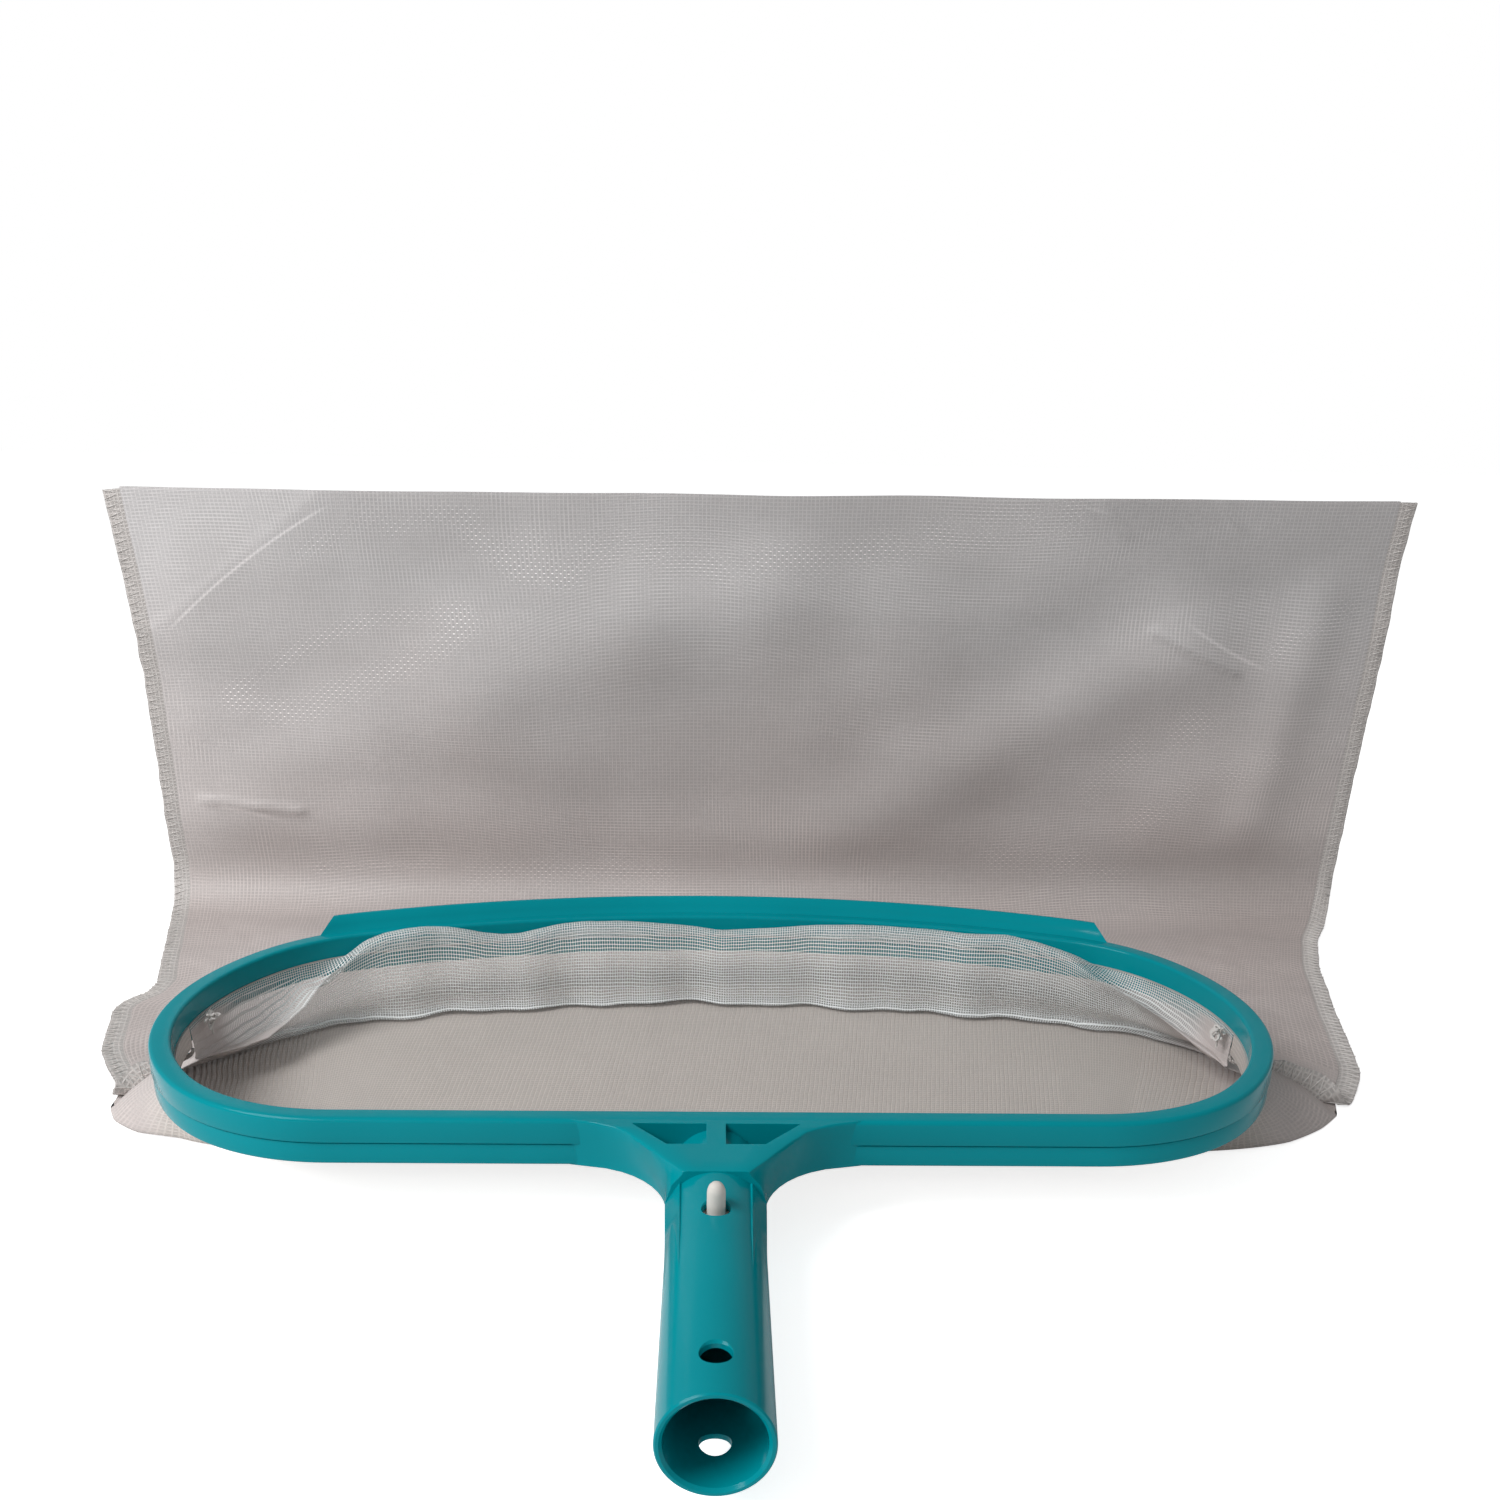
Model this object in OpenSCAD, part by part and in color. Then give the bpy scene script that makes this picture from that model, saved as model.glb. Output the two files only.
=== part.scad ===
// Leaf skimmer net for a pool: an oval moulded hoop with a tubular pole socket,
// a clamp ring that holds a sewn mesh bag, and a spring clip that locks the pole.
// Millimetres, +Z up. The origin is on the socket's axis, at its mouth. The pole
// leaves along -Y, the hoop lies at +Y, and the bag trails behind it.

/* [Hoop] */
// Width of the hoop over its two ends
hoop_w = 404; // [380:1:430]
// Height of the hoop's section, with the clamp ring
hoop_h = 16; // [14:0.5:20]
// Thickness of the hoop's section, inside to outside
hoop_t = 7.6; // [7.2:0.1:9]
// Outer radius of the corners beside the yoke
near_corner_r = 73; // [66:0.5:80]
// Outer radius of the two ends
side_r = 103.5; // [96:0.5:112]
// Outer radius of the corners beside the lip
far_corner_r = 72.5; // [66:0.5:80]
// Angle at which a near corner runs into an end
near_turn = 38; // [34:1:42]
// Angle at which an end runs into a far corner
far_turn = 35; // [32:1:38]
// Angle at which a far corner runs into the bowed far side
bow_turn = 69.6; // [67:0.2:72]
// Rounding of the hoop's top edges
edge_r = 1.5; // [0.8:0.1:2]

/* [Clamp ring] */
// Height of the clamp ring below the joint
clamp_h = 7.2; // [6:0.1:8]
// How far the hoop stands proud of the clamp ring outside
clamp_step = 0.5; // [0.3:0.1:0.8]
// Rounding of the clamp ring's bottom edges
clamp_r = 1; // [0.6:0.1:1.6]
// Width of the tongue that presses the net into the groove
tongue_w = 1.8; // [1.4:0.1:2]
// Height of the tongue
tongue_h = 2.2; // [1.6:0.1:3]
// Distance from the inner face to the tongue
tongue_in = 2.9; // [2.6:0.1:3]
// Thickness of the net where it is clamped, which is the joint's gap
hem_t = 0.4; // [0.3:0.05:0.6]

/* [Scoop lip] */
// Width of the lip from tip to tip
lip_w = 328; // [290:1:340]
// Rise of the lip over the hoop's top
lip_rise = 5.8; // [4:0.2:8]
// Reach of the lip outside the hoop
lip_reach = 4.2; // [3:0.2:6]
// Thickness of the lip
lip_t = 2.1; // [1.6:0.1:2.6]
// Sideways run of the lip's cut ends
lip_cut = 4; // [2:0.5:8]

/* [Socket] */
// Outer diameter of the socket, which slides into a pole
socket_d = 29; // [27:0.1:31]
// Wall of the socket
socket_wall = 2; // [1.6:0.1:2.6]
// Length of the parallel part that takes the pole
socket_fit_l = 79.5; // [77:0.5:80]
// Growth of the socket's radius from there to the yoke
socket_draft = 0.4; // [0.1:0.1:0.8]
// Length of the socket from its mouth to the hoop
socket_l = 135.5; // [134:0.5:145]
// Thickness of the socket's closed end
socket_end = 7.5; // [5:0.5:9]
// Diameter of the cross holes
cross_d = 8.2; // [8:0.1:9]
// Width of the bevel round the cross holes
cross_bevel = 0.7; // [0.4:0.1:1]
// Distance from the mouth to the spare pair of holes
spare_hole_y = 16.4; // [13:0.2:24]
// Distance from the mouth to the pair of holes that the clip uses
clip_hole_y = 84.2; // [84.2:0.2:88]

/* [Yoke] */
// Radius of the fillet between the hoop and the socket
flank_r = 29; // [27:0.5:31]
// Length of the saddle on top of the socket, from the hoop
yoke_l = 31.8; // [30:0.2:34]
// Half width of the saddle's end
saddle_w = 9.7; // [8:0.1:11]
// Width of the rib between the two pockets
pocket_rib = 6; // [4:0.5:8]
// Distance from the hoop to the pockets
pocket_y = 1.8; // [1.4:0.1:2.6]
// Length of the pockets towards the socket
pocket_l = 13.4; // [11:0.2:14]
// Outer reach of the pockets beside the hoop
pocket_far_x = 26; // [22:0.5:27]
// Outer reach of the pockets beside the saddle
pocket_near_x = 15.2; // [13:0.2:16]
// Height of the pockets' floor over the hoop's bottom
pocket_floor = 2.2; // [1.6:0.1:4]
// Half length of the skirt that hides the clamp ring behind the yoke
skirt_x = 62; // [52:1:70]
// Thickness of that skirt
skirt_t = 2; // [1.4:0.1:2]

/* [Spring clip] */
// Width of the clip's strip
strip_w = 8; // [7:0.2:9]
// Thickness of the strip
strip_t = 1.6; // [1.2:0.1:1.8]
// Radius of the bow at the strip's middle
bow_r = 9.3; // [9:0.1:9.6]
// Diameter of the two lock pins
pin_d = 5.3; // [5:0.1:5.5]
// Height of a pin's tip over the socket
pin_proud = 7.4; // [6:0.2:7.6]
// How far the pins sit behind their holes' centres
pin_setback = 0.9; // [0.7:0.05:0.95]
// Length of a leg past its pin
leg_tail = 4; // [3.2:0.2:5]
// Gap between a leg's outer face and the socket's wall
leg_gap = 0.3; // [0.2:0.05:0.4]
// Gap between moving faces at the bend
bend_gap = 0.25; // [0.2:0.05:0.4]

/* [Bag] */
// Width of one net panel between the seams
bag_w = 578; // [540:1:610]
// Height of the bag's standing back above the ground
bag_rise = 207; // [150:1:260]
// Distance from the hoop's far side to the back of the bag
bag_back = 110; // [90:1:140]
// How far the lying bag is off to one side
bag_shift = 22; // [0:1:30]
// Radius of the bend from the ground to the back
bag_bend_r = 16; // [12:1:24]
// Forward lean of the back's top
bag_lean = 29; // [10:1:40]
// Thickness of a net panel's solid
net_t = 1; // [0.8:0.1:1.2]
// Gap between the two panels where they lie together
panel_gap = 0.3; // [0.3:0.1:1]
// Gap between the net and the hoop
net_clear = 0.3; // [0.2:0.05:0.5]
// How far the bag bulges past the hoop's ends
lobe = 30; // [20:1:50]
// How much further it bulges on one side than on the other, halved
lobe_shift = 8; // [0:1:12]
// Run of the lower panel from the near side down to the ground
near_run = 34; // [24:1:50]
// Height of the fold inside the hoop above the joint
crest_rise = 10; // [4:0.5:14]
// Distance of that fold's front from the far wall
crest_in = 20; // [16:1:40]
// Width of the overlocked side seams
seam_w = 8; // [6:0.5:11]
// Gap between a seam band and the panels' edges
seam_gap = 0.3; // [0.2:0.05:0.5]
// Radius of the knots that end the seams
knot_r = 1.7; // [1:0.1:2.2]

/* [Hidden] */
$fn = 64;

// heights: the hoop's bottom lies just under the socket's axis
hoop_drop = 0.5;
z_bot = -hoop_drop;
z_top = z_bot + hoop_h;
z_joint = z_bot + clamp_h;
socket_r = socket_d / 2;
root_r = socket_r + socket_draft;
bore_r = socket_r - socket_wall;
// it lies on the lower pin's tip and on the bag
pin_top = socket_r + pin_proud;
ground = -pin_top;

// the hoop's outline: four tangent arcs a side, between a straight near side
// and a bowed far side
near_y = socket_l;
c_near = [hoop_w / 2 - side_r + (side_r - near_corner_r) * cos(near_turn),
  near_y + near_corner_r];
c_side = c_near - (side_r - near_corner_r) * [cos(near_turn), -sin(near_turn)];
c_far = c_side + (side_r - far_corner_r) * [cos(far_turn), sin(far_turn)];
bow_R = far_corner_r + c_far.x / cos(bow_turn);
c_bow = [0, c_far.y - c_far.x * tan(bow_turn)];
far_y = c_bow.y + bow_R;
ARCS = [[c_near, near_corner_r, -90, -near_turn], [c_side, side_r, -near_turn, far_turn],
  [c_far, far_corner_r, far_turn, bow_turn], [c_bow, bow_R, bow_turn, 90]];

// a point on the hoop's inner face, moved "inset" further in: on an arc, side is -1
// or 1 and turn is the angle; part -1 is the near straight, with x as its turn
function on_arc(side, part, turn, inset) = part < 0 ? [turn, near_y + hoop_t + inset] :
  let (a = ARCS[part], r = a[1] - hoop_t - inset)
  [side * (a[0].x + r * cos(turn)), a[0].y + r * sin(turn)];
// lengths along the inner face, from the near middle to the seam at the end,
// and from the far middle to the same seam
function arc_len(i, a0, a1) = (ARCS[i][1] - hoop_t) * abs(a1 - a0) * PI / 180;
near_1 = c_near.x;
near_2 = near_1 + arc_len(0, -90, -near_turn);
near_3 = near_2 + arc_len(1, -near_turn, 0);
far_1 = arc_len(3, bow_turn, 90);
far_2 = far_1 + arc_len(2, far_turn, bow_turn);
far_3 = far_2 + arc_len(1, 0, far_turn);
function deg_of(i, len) = len / (ARCS[i][1] - hoop_t) * 180 / PI;
function near_rim(u, inset) = let (e = abs(u), s = e * near_3, k = sign(u))
  s < near_1 ? [k * s, near_y + hoop_t + inset]
  : s < near_2 ? on_arc(k, 0, -90 + deg_of(0, s - near_1), inset)
  : on_arc(k, 1, -near_turn + deg_of(1, s - near_2), inset);
function far_rim(u, inset) = let (e = abs(u), s = e * far_3, k = u < 0 ? -1 : 1)
  s < far_1 ? on_arc(k, 3, 90 - deg_of(3, s), inset)
  : s < far_2 ? on_arc(k, 2, bow_turn - deg_of(2, s - far_1), inset)
  : on_arc(k, 1, far_turn - deg_of(1, s - far_2), inset);

// stations along the hoop, each with its side, part and turn: from the near side
// round the right end, along the bow and round the left end
seg = 8;
function pieces(i) = ceil(ARCS[i][1] * (ARCS[i][3] - ARCS[i][2]) * PI / 180 / seg);
function turn(i, k) = ARCS[i][2] + (ARCS[i][3] - ARCS[i][2]) * k / pieces(i);
far_half = concat([for (k = [0:pieces(2) - 1]) [1, 2, turn(2, k)]],
  [for (k = [0:2 * pieces(3)]) [1, 3, turn(3, k)]],
  [for (k = [pieces(2) - 1:-1:0]) [-1, 2, turn(2, k)]]);
ALL_ROUND = concat([for (i = [0, 1], k = [0:pieces(i) - 1]) [1, i, turn(i, k)]], far_half,
  [for (i = [1, 0], k = [pieces(i) - 1:-1:0]) [-1, i, turn(i, k)]]);

// a profile set up at a station: its x runs from the inner face outwards, its y is
// the height, and its points go round anticlockwise
function slice(s, profile) = [for (p = profile)
  let (q = on_arc(s[0], s[1], s[2], -p.x)) [q.x, q.y, p.y]];
// skins a row of slices with equally many points
module sweep(slices, closed = true) {
  n = len(slices);
  m = len(slices[0]);
  points = [for (s = slices, p = s) p];
  sides = [for (i = [0:closed ? n - 1 : n - 2], j = [0:m - 1], h = [0, 1])
    let (a = i * m, b = (i + 1) % n * m, k = (j + 1) % m)
    h == 0 ? [a + j, b + j, b + k] : [a + j, b + k, a + k]];
  ends = closed ? [] : [[for (j = [0:m - 1]) j], [for (j = [m - 1:-1:0]) (n - 1) * m + j]];
  polyhedron(points, concat(sides, ends));
}

// profiles round the joint, where the tongue presses the net into the groove
tongue_out = tongue_in + tongue_w;
tongue_top = z_joint + tongue_h;
net_top = z_joint + hem_t;
function rounded(c, r, from) = [for (a = [0, 30, 60, 90]) c + r * [cos(from + a), sin(from + a)]];
outer_corner = rounded([hoop_t - edge_r, z_top - edge_r], edge_r, 0);
hoop_profile = concat([[hoop_t, net_top]], outer_corner,
  rounded([edge_r, z_top - edge_r], edge_r, 90),
  [[0, net_top], [tongue_in - hem_t, net_top], [tongue_in - hem_t, tongue_top + hem_t],
   [tongue_out + hem_t, tongue_top + hem_t], [tongue_out + hem_t, net_top]]);
clamp_w = hoop_t - clamp_step;
behind_skirt_w = hoop_t - skirt_t - 0.1;
function clamp_profile(w) = concat([[w, z_joint], [tongue_out, z_joint], [tongue_out, tongue_top],
    [tongue_in, tongue_top], [tongue_in, z_joint], [0, z_joint]],
  rounded([clamp_r, z_bot + clamp_r], clamp_r, 180),
  rounded([w - clamp_r, z_bot + clamp_r], clamp_r, 270));
hem_w = behind_skirt_w - 0.1;
hem_profile = [[0, z_joint], [tongue_in, z_joint], [tongue_in, tongue_top], [tongue_out, tongue_top],
  [tongue_out, z_joint], [hem_w, z_joint], [hem_w, net_top], [tongue_out + hem_t, net_top],
  [tongue_out + hem_t, tongue_top + hem_t], [tongue_in - hem_t, tongue_top + hem_t],
  [tongue_in - hem_t, net_top], [0, net_top]];
lip_end = z_top + lip_rise;
lip_profile = concat([[hoop_t - edge_r - lip_t, z_top]], [for (k = [3:-1:0]) outer_corner[k]],
  [[hoop_t, z_top - 2 * lip_t], [hoop_t + lip_reach, lip_end - 0.5],
   [hoop_t + lip_reach - 0.4, lip_end], [hoop_t + lip_reach - lip_t, lip_end]]);

module hoop() {
  color("darkcyan") sweep([for (s = ALL_ROUND) slice(s, hoop_profile)]);
}

module clamp_ring() {
  // it is thinner behind the yoke's skirt
  behind = [[-skirt_x - 0.6, clamp_w], [-skirt_x - 0.3, behind_skirt_w],
    [skirt_x + 0.3, behind_skirt_w], [skirt_x + 0.6, clamp_w]];
  color("darkcyan") sweep(concat([for (s = ALL_ROUND) slice(s, clamp_profile(clamp_w))],
    [for (b = behind) slice([1, -1, b[0]], clamp_profile(b[1]))]));
}

module net_hem() {
  color("gainsboro") sweep([for (s = ALL_ROUND) slice(s, hem_profile)]);
}

module scoop_lip() {
  color("darkcyan") intersection() {
    sweep([for (s = far_half) slice(s, lip_profile)], closed = false);
    translate([0, far_y + 2 * lip_reach, 0]) rotate([90, 0, 0]) linear_extrude(side_r)
      polygon([[-lip_w / 2, z_top], [-lip_w / 2, z_bot], [lip_w / 2, z_bot],
        [lip_w / 2, z_top], [lip_w / 2 - lip_cut, lip_end + 1], [-lip_w / 2 + lip_cut, lip_end + 1]]);
  }
}

// arms, saddle and skirt of the yoke, cut round the socket
module yoke_slice(y, points) {
  translate([0, y, 0]) rotate([90, 0, 0]) linear_extrude(0.01) polygon(points);
}
module yoke() {
  saddle_y = near_y - yoke_l;
  arm_y = near_y - 23.5;
  flank_x = root_r + flank_r;
  arm_x = flank_x - sqrt(flank_r * flank_r - pow(arm_y - (near_y - flank_r), 2));
  color("darkcyan") difference() {
    union() {
      translate([0, 0, z_bot]) linear_extrude(hoop_h) difference() {
        translate([-flank_x, arm_y]) square([2 * flank_x, near_y - arm_y]);
        for (k = [-1, 1]) translate([k * flank_x, near_y - flank_r]) circle(flank_r);
      }
      hull() {
        yoke_slice(arm_y, [[-arm_x, z_bot], [arm_x, z_bot], [arm_x, z_top], [-arm_x, z_top]]);
        yoke_slice(saddle_y, [[-root_r, z_bot], [root_r, z_bot], [root_r - 0.4, 4],
          [saddle_w, z_top], [-saddle_w, z_top], [-root_r + 0.4, 4]]);
      }
      translate([-skirt_x, near_y, z_bot]) cube([2 * skirt_x, skirt_t, clamp_h + hem_t]);
    }
    rotate([-90, 0, 0]) cylinder(r = root_r, h = near_y);
    for (k = [-1, 1]) translate([0, near_y - pocket_y, z_bot + pocket_floor])
      linear_extrude(hoop_h) polygon([[k * pocket_rib / 2, 0], [k * pocket_far_x, 0],
        [k * pocket_near_x, -pocket_l], [k * pocket_rib / 2, -pocket_l]]);
  }
}

module pole_socket() {
  color("darkcyan") difference() {
    rotate([-90, 0, 0]) {
      cylinder(r = socket_r, h = socket_fit_l);
      translate([0, 0, socket_fit_l]) cylinder(r1 = socket_r, r2 = root_r,
        h = near_y - yoke_l - socket_fit_l);
      translate([0, 0, near_y - yoke_l]) cylinder(r = root_r, h = yoke_l);
    }
    translate([0, -1, 0]) rotate([-90, 0, 0]) cylinder(r = bore_r, h = socket_l - socket_end + 1);
    translate([0, -0.01, 0]) rotate([-90, 0, 0]) cylinder(r1 = bore_r + 0.7, r2 = bore_r, h = 0.9);
    for (y = [spare_hole_y, clip_hole_y]) translate([0, y, 0]) {
      translate([0, 0, -socket_r - 1]) cylinder(d = cross_d, h = socket_d + 2);
      for (k = [0, 1]) mirror([0, 0, k]) translate([0, 0, socket_r - cross_bevel])
        cylinder(d1 = cross_d, d2 = cross_d + 4 * cross_bevel, h = 2 * cross_bevel);
    }
  }
}

// spring clip: a bow at the bore's closed end and two legs with lock pins
bow_y = socket_l - socket_end - net_clear - bow_r - strip_t / 2;
pin_y = clip_hole_y + pin_setback;
leg_l = bow_y - pin_y + leg_tail;
leg_out = sqrt(bore_r * bore_r - strip_w * strip_w / 4) - leg_gap - strip_t / 2;
leg_tilt = atan((leg_out - bow_r) / leg_l);
module clip_bow() {
  color("whitesmoke") difference() {
    translate([-strip_w / 2, bow_y, 0]) rotate([0, 90, 0]) difference() {
      cylinder(r = bow_r + strip_t / 2, h = strip_w);
      translate([0, 0, -1]) cylinder(r = bow_r - strip_t / 2, h = strip_w + 2);
      translate([-20, -40, -1]) cube([40, 40, strip_w + 2]);
    }
    for (k = [-1, 1]) translate([-strip_w, bow_y, k * bow_r]) rotate([0, 90, 0])
      cylinder(r = strip_t / 2 + bend_gap, h = 2 * strip_w);
  }
}
module leg(k) {
  color("whitesmoke") mirror([0, 0, k]) translate([0, bow_y, bow_r]) rotate([-leg_tilt, 0, 0]) {
    translate([-strip_w / 2, 0, 0]) rotate([0, 90, 0]) cylinder(r = strip_t / 2, h = strip_w);
    translate([-strip_w / 2, -leg_l, -strip_t / 2]) cube([strip_w, leg_l, strip_t]);
  }
}
module pin(k) {
  base = bow_r + (bow_y - pin_y) * tan(leg_tilt) + strip_t / 2;
  color("white") mirror([0, 0, k]) translate([0, pin_y, 0]) difference() {
    union() {
      translate([0, 0, base - 1]) cylinder(d = pin_d, h = pin_top - pin_d / 2 - base + 1);
      translate([0, 0, pin_top - pin_d / 2]) sphere(d = pin_d);
    }
    translate([-10, bow_y - pin_y, bow_r]) rotate([-leg_tilt, 0, 0])
      translate([0, -2 * leg_l, strip_t / 2 - 10]) cube([20, 4 * leg_l, 10]);
  }
}
module clip_leg_upper() leg(0);
module clip_leg_lower() leg(1);
module clip_pin_upper() pin(0);
module clip_pin_lower() pin(1);

// net panels: rows of points from the hem to the bag's end, with u from -1 to 1
// across; a closed skin of net_t is laid on both sides of them
function mix(a, b, t) = a + (b - a) * t;
function pull(u) = pow(abs(u), 4);
function at(p, z) = [p.x, p.y, z];
COLS = 20;
LAST = 0.998;
US = [for (i = [0:COLS]) let (t = 2 * i / COLS - 1) LAST * t * (1.25 - 0.25 * t * t)];
floor_z = ground + net_t / 2;
lay = net_t + panel_gap;
rim_gap = net_clear + net_t / 2;
back_y = far_y + bag_back;
function back_row(u, z, d) = [bag_shift + u * bag_w / 2,
  back_y - d - bag_lean * pow(max(0, (z - ground) / bag_rise), 1.6), z];
lie_n = 7;
bend_n = 4;
wall_n = 9;
function climb(u, d) = [for (i = [1:bend_n]) let (a = 90 * i / bend_n)
    [bag_shift + u * bag_w / 2, back_y - d - bag_bend_r * (1 - sin(a)),
     floor_z + d + (bag_bend_r - d) * (1 - cos(a))]];
function wall(u, d) = [for (i = [1:wall_n])
    back_row(u, mix(floor_z + bag_bend_r, ground + bag_rise, i / wall_n), d)];
// the lobe past the hoop's end, larger on the side the bag lies to
function bulge(u) = -(lobe + sign(u) * lobe_shift);
function lying(p, u, d) = let (q = [bag_shift + u * bag_w / 2, back_y - d - bag_bend_r])
  [for (i = [1:lie_n]) at(mix(p, q, i / lie_n), floor_z + d)];
// column of the panel that hangs from the near side and lies underneath
function under_column(u) = let (w = pull(u), b = bulge(u), g = near_rim(u, mix(near_run, b, w)),
    drop = z_bot - floor_z)
  concat([at(near_rim(u, rim_gap), z_joint), at(near_rim(u, rim_gap), z_bot + 2),
      at(near_rim(u, rim_gap), z_bot - 1.1),
      at(near_rim(u, mix(near_run * 0.13, -3, w)), z_bot - mix(drop * 0.28, 2.6, w)),
      at(near_rim(u, mix(near_run * 0.38, b * 0.4, w)), z_bot - mix(drop * 0.5, drop * 0.3, w)),
      at(near_rim(u, mix(near_run * 0.68, b * 0.8, w)), z_bot - mix(drop * 0.76, drop * 0.62, w)),
      at(g, floor_z)],
    lying(g, u, 0), climb(u, 0), wall(u, 0));
// column of the panel that hangs from the far side, rises in a fold inside the
// hoop, and lies on top
function over_column(u) = let (w = pull(u), b = bulge(u), f = far_rim(u, mix(crest_in - 7, b, w)),
    drop = z_bot - floor_z - lay,
    top = z_joint + mix(crest_rise, -1, w) + 1.5 * cos(u * 700) * (1 - w))
  concat([at(far_rim(u, rim_gap), z_joint),
      at(far_rim(u, mix(crest_in * 0.16, rim_gap, w)), mix(top - 1.6, z_joint - 3, w)),
      at(far_rim(u, mix(crest_in * 0.42, rim_gap, w)), mix(top, z_bot + 1, w)),
      at(far_rim(u, mix(crest_in * 0.7, rim_gap, w)), mix(top - 3, z_bot - 1.1, w)),
      at(far_rim(u, mix(crest_in * 0.9, -3, w)), mix(z_bot - 2, z_bot - 2.6, w)),
      at(far_rim(u, mix(crest_in, b * 0.4, w)), mix(floor_z + lay + 4, z_bot - drop * 0.3, w)),
      at(far_rim(u, mix(crest_in - 1, b * 0.8, w)), mix(floor_z + lay + 0.8, z_bot - drop * 0.62, w)),
      at(f, floor_z + lay)],
    lying(f, u, lay), climb(u, lay), wall(u, lay));

// skins a grid of columns of equal length to a closed solid
function normal_at(g, i, j) = let (a = g[min(i + 1, len(g) - 1)][j] - g[max(i - 1, 0)][j],
    b = g[i][min(j + 1, len(g[0]) - 1)] - g[i][max(j - 1, 0)], n = cross(a, b)) n / norm(n);
module skin(g, t) {
  n = len(g);
  m = len(g[0]);
  pts = [for (k = [-1, 1]) for (i = [0:n - 1]) for (j = [0:m - 1])
    g[i][j] + k * t / 2 * normal_at(g, i, j)];
  function id(k, i, j) = k * n * m + i * m + j;
  faces = concat(
    [for (k = [0, 1]) for (i = [0:n - 2]) for (j = [0:m - 2]) for (h = [0, 1])
      let (q = [id(k, i, j), id(k, i + 1, j), id(k, i + 1, j + 1), id(k, i, j + 1)],
        f = h == 0 ? [q[0], q[1], q[2]] : [q[0], q[2], q[3]]) k == 0 ? f : [f[2], f[1], f[0]]],
    [for (i = [0:n - 2]) for (e = [0, 1]) for (h = [0, 1]) let (j = e * (m - 1),
        q = [id(0, i, j), id(1, i, j), id(1, i + 1, j), id(0, i + 1, j)],
        f = h == 0 ? [q[0], q[1], q[2]] : [q[0], q[2], q[3]]) e == 0 ? f : [f[2], f[1], f[0]]],
    [for (j = [0:m - 2]) for (e = [0, 1]) for (h = [0, 1]) let (i = e * (n - 1),
        q = [id(0, i, j), id(0, i, j + 1), id(1, i, j + 1), id(1, i, j)],
        f = h == 0 ? [q[0], q[1], q[2]] : [q[0], q[2], q[3]]) e == 0 ? f : [f[2], f[1], f[0]]]);
  polyhedron(pts, faces);
}
module net_under_panel() {
  color("gainsboro") skin([for (u = US) under_column(u)], net_t);
}
module net_over_panel() {
  color("gainsboro") skin([for (u = US) over_column(u)], net_t);
}
// sewn band along one side: it covers both panels' edges from the lobe to the top
module side_seam(u) {
  edge = concat([at(near_rim(u, bulge(u)), floor_z + lay / 2)], lying(near_rim(u, bulge(u)), u, lay / 2),
    climb(u, lay / 2), wall(u, lay / 2));
  band = [for (k = [0, 1]) [for (p = edge) p + [u * (seam_gap + k * seam_w), 0, 0]]];
  color("whitesmoke") skin(u > 0 ? band : [band[1], band[0]], net_t + lay);
}
module side_seam_left() side_seam(-1);
module side_seam_right() side_seam(1);
// the knotted thread ends of both seams, inside the hoop
module seam_knots() {
  for (k = [-1, 1]) translate(at(near_rim(k, rim_gap + net_t / 2 + net_clear + knot_r), 0))
    color("whitesmoke") {
      translate([0, 0, z_joint - 3.5]) sphere(knot_r);
      translate([0, 0, z_joint - 3.5]) rotate([12 * k, 8 * k, 0]) cylinder(r = knot_r * 0.35, h = 6);
    }
}

hoop();
scoop_lip();
yoke();
pole_socket();
clamp_ring();
net_hem();
net_under_panel();
net_over_panel();
side_seam_left();
side_seam_right();
seam_knots();
clip_bow();
clip_leg_upper();
clip_pin_upper();
clip_leg_lower();
clip_pin_lower();
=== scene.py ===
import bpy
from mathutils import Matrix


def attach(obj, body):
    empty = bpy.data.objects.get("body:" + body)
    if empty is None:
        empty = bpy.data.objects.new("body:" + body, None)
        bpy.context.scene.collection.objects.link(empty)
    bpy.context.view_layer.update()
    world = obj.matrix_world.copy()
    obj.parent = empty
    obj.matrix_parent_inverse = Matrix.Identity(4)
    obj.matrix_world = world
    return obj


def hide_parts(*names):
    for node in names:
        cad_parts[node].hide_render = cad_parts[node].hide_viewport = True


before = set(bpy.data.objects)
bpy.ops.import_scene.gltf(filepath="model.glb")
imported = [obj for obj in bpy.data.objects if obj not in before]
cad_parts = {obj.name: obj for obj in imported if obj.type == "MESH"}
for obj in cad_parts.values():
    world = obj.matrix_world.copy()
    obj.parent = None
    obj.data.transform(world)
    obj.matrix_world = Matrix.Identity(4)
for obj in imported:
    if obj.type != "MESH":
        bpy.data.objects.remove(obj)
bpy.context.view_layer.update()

from functools import partial
from math import radians, degrees, sin, cos, tan, pi, sqrt, hypot

import bmesh
import bpy
from mathutils import Matrix, Vector, noise

BODY = "frame_and_bag"

# ---------------------------------------------------------------- camera
# 36.2 mm lens, 20 degrees down, with the optical axis low in the frame
EYE = Vector((-0.001932, -0.288535, 0.228467))
PITCH, YAW, ROLL = 0.345, 0.027, 0.018


def look(x, up, ahead):
    """A direction given in the level camera's own axes, in the part's frame."""
    y = up * sin(PITCH) + ahead * cos(PITCH)
    z = up * cos(PITCH) - ahead * sin(PITCH)
    return Vector((x * cos(YAW) + y * sin(YAW), -x * sin(YAW) + y * cos(YAW), z))


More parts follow.
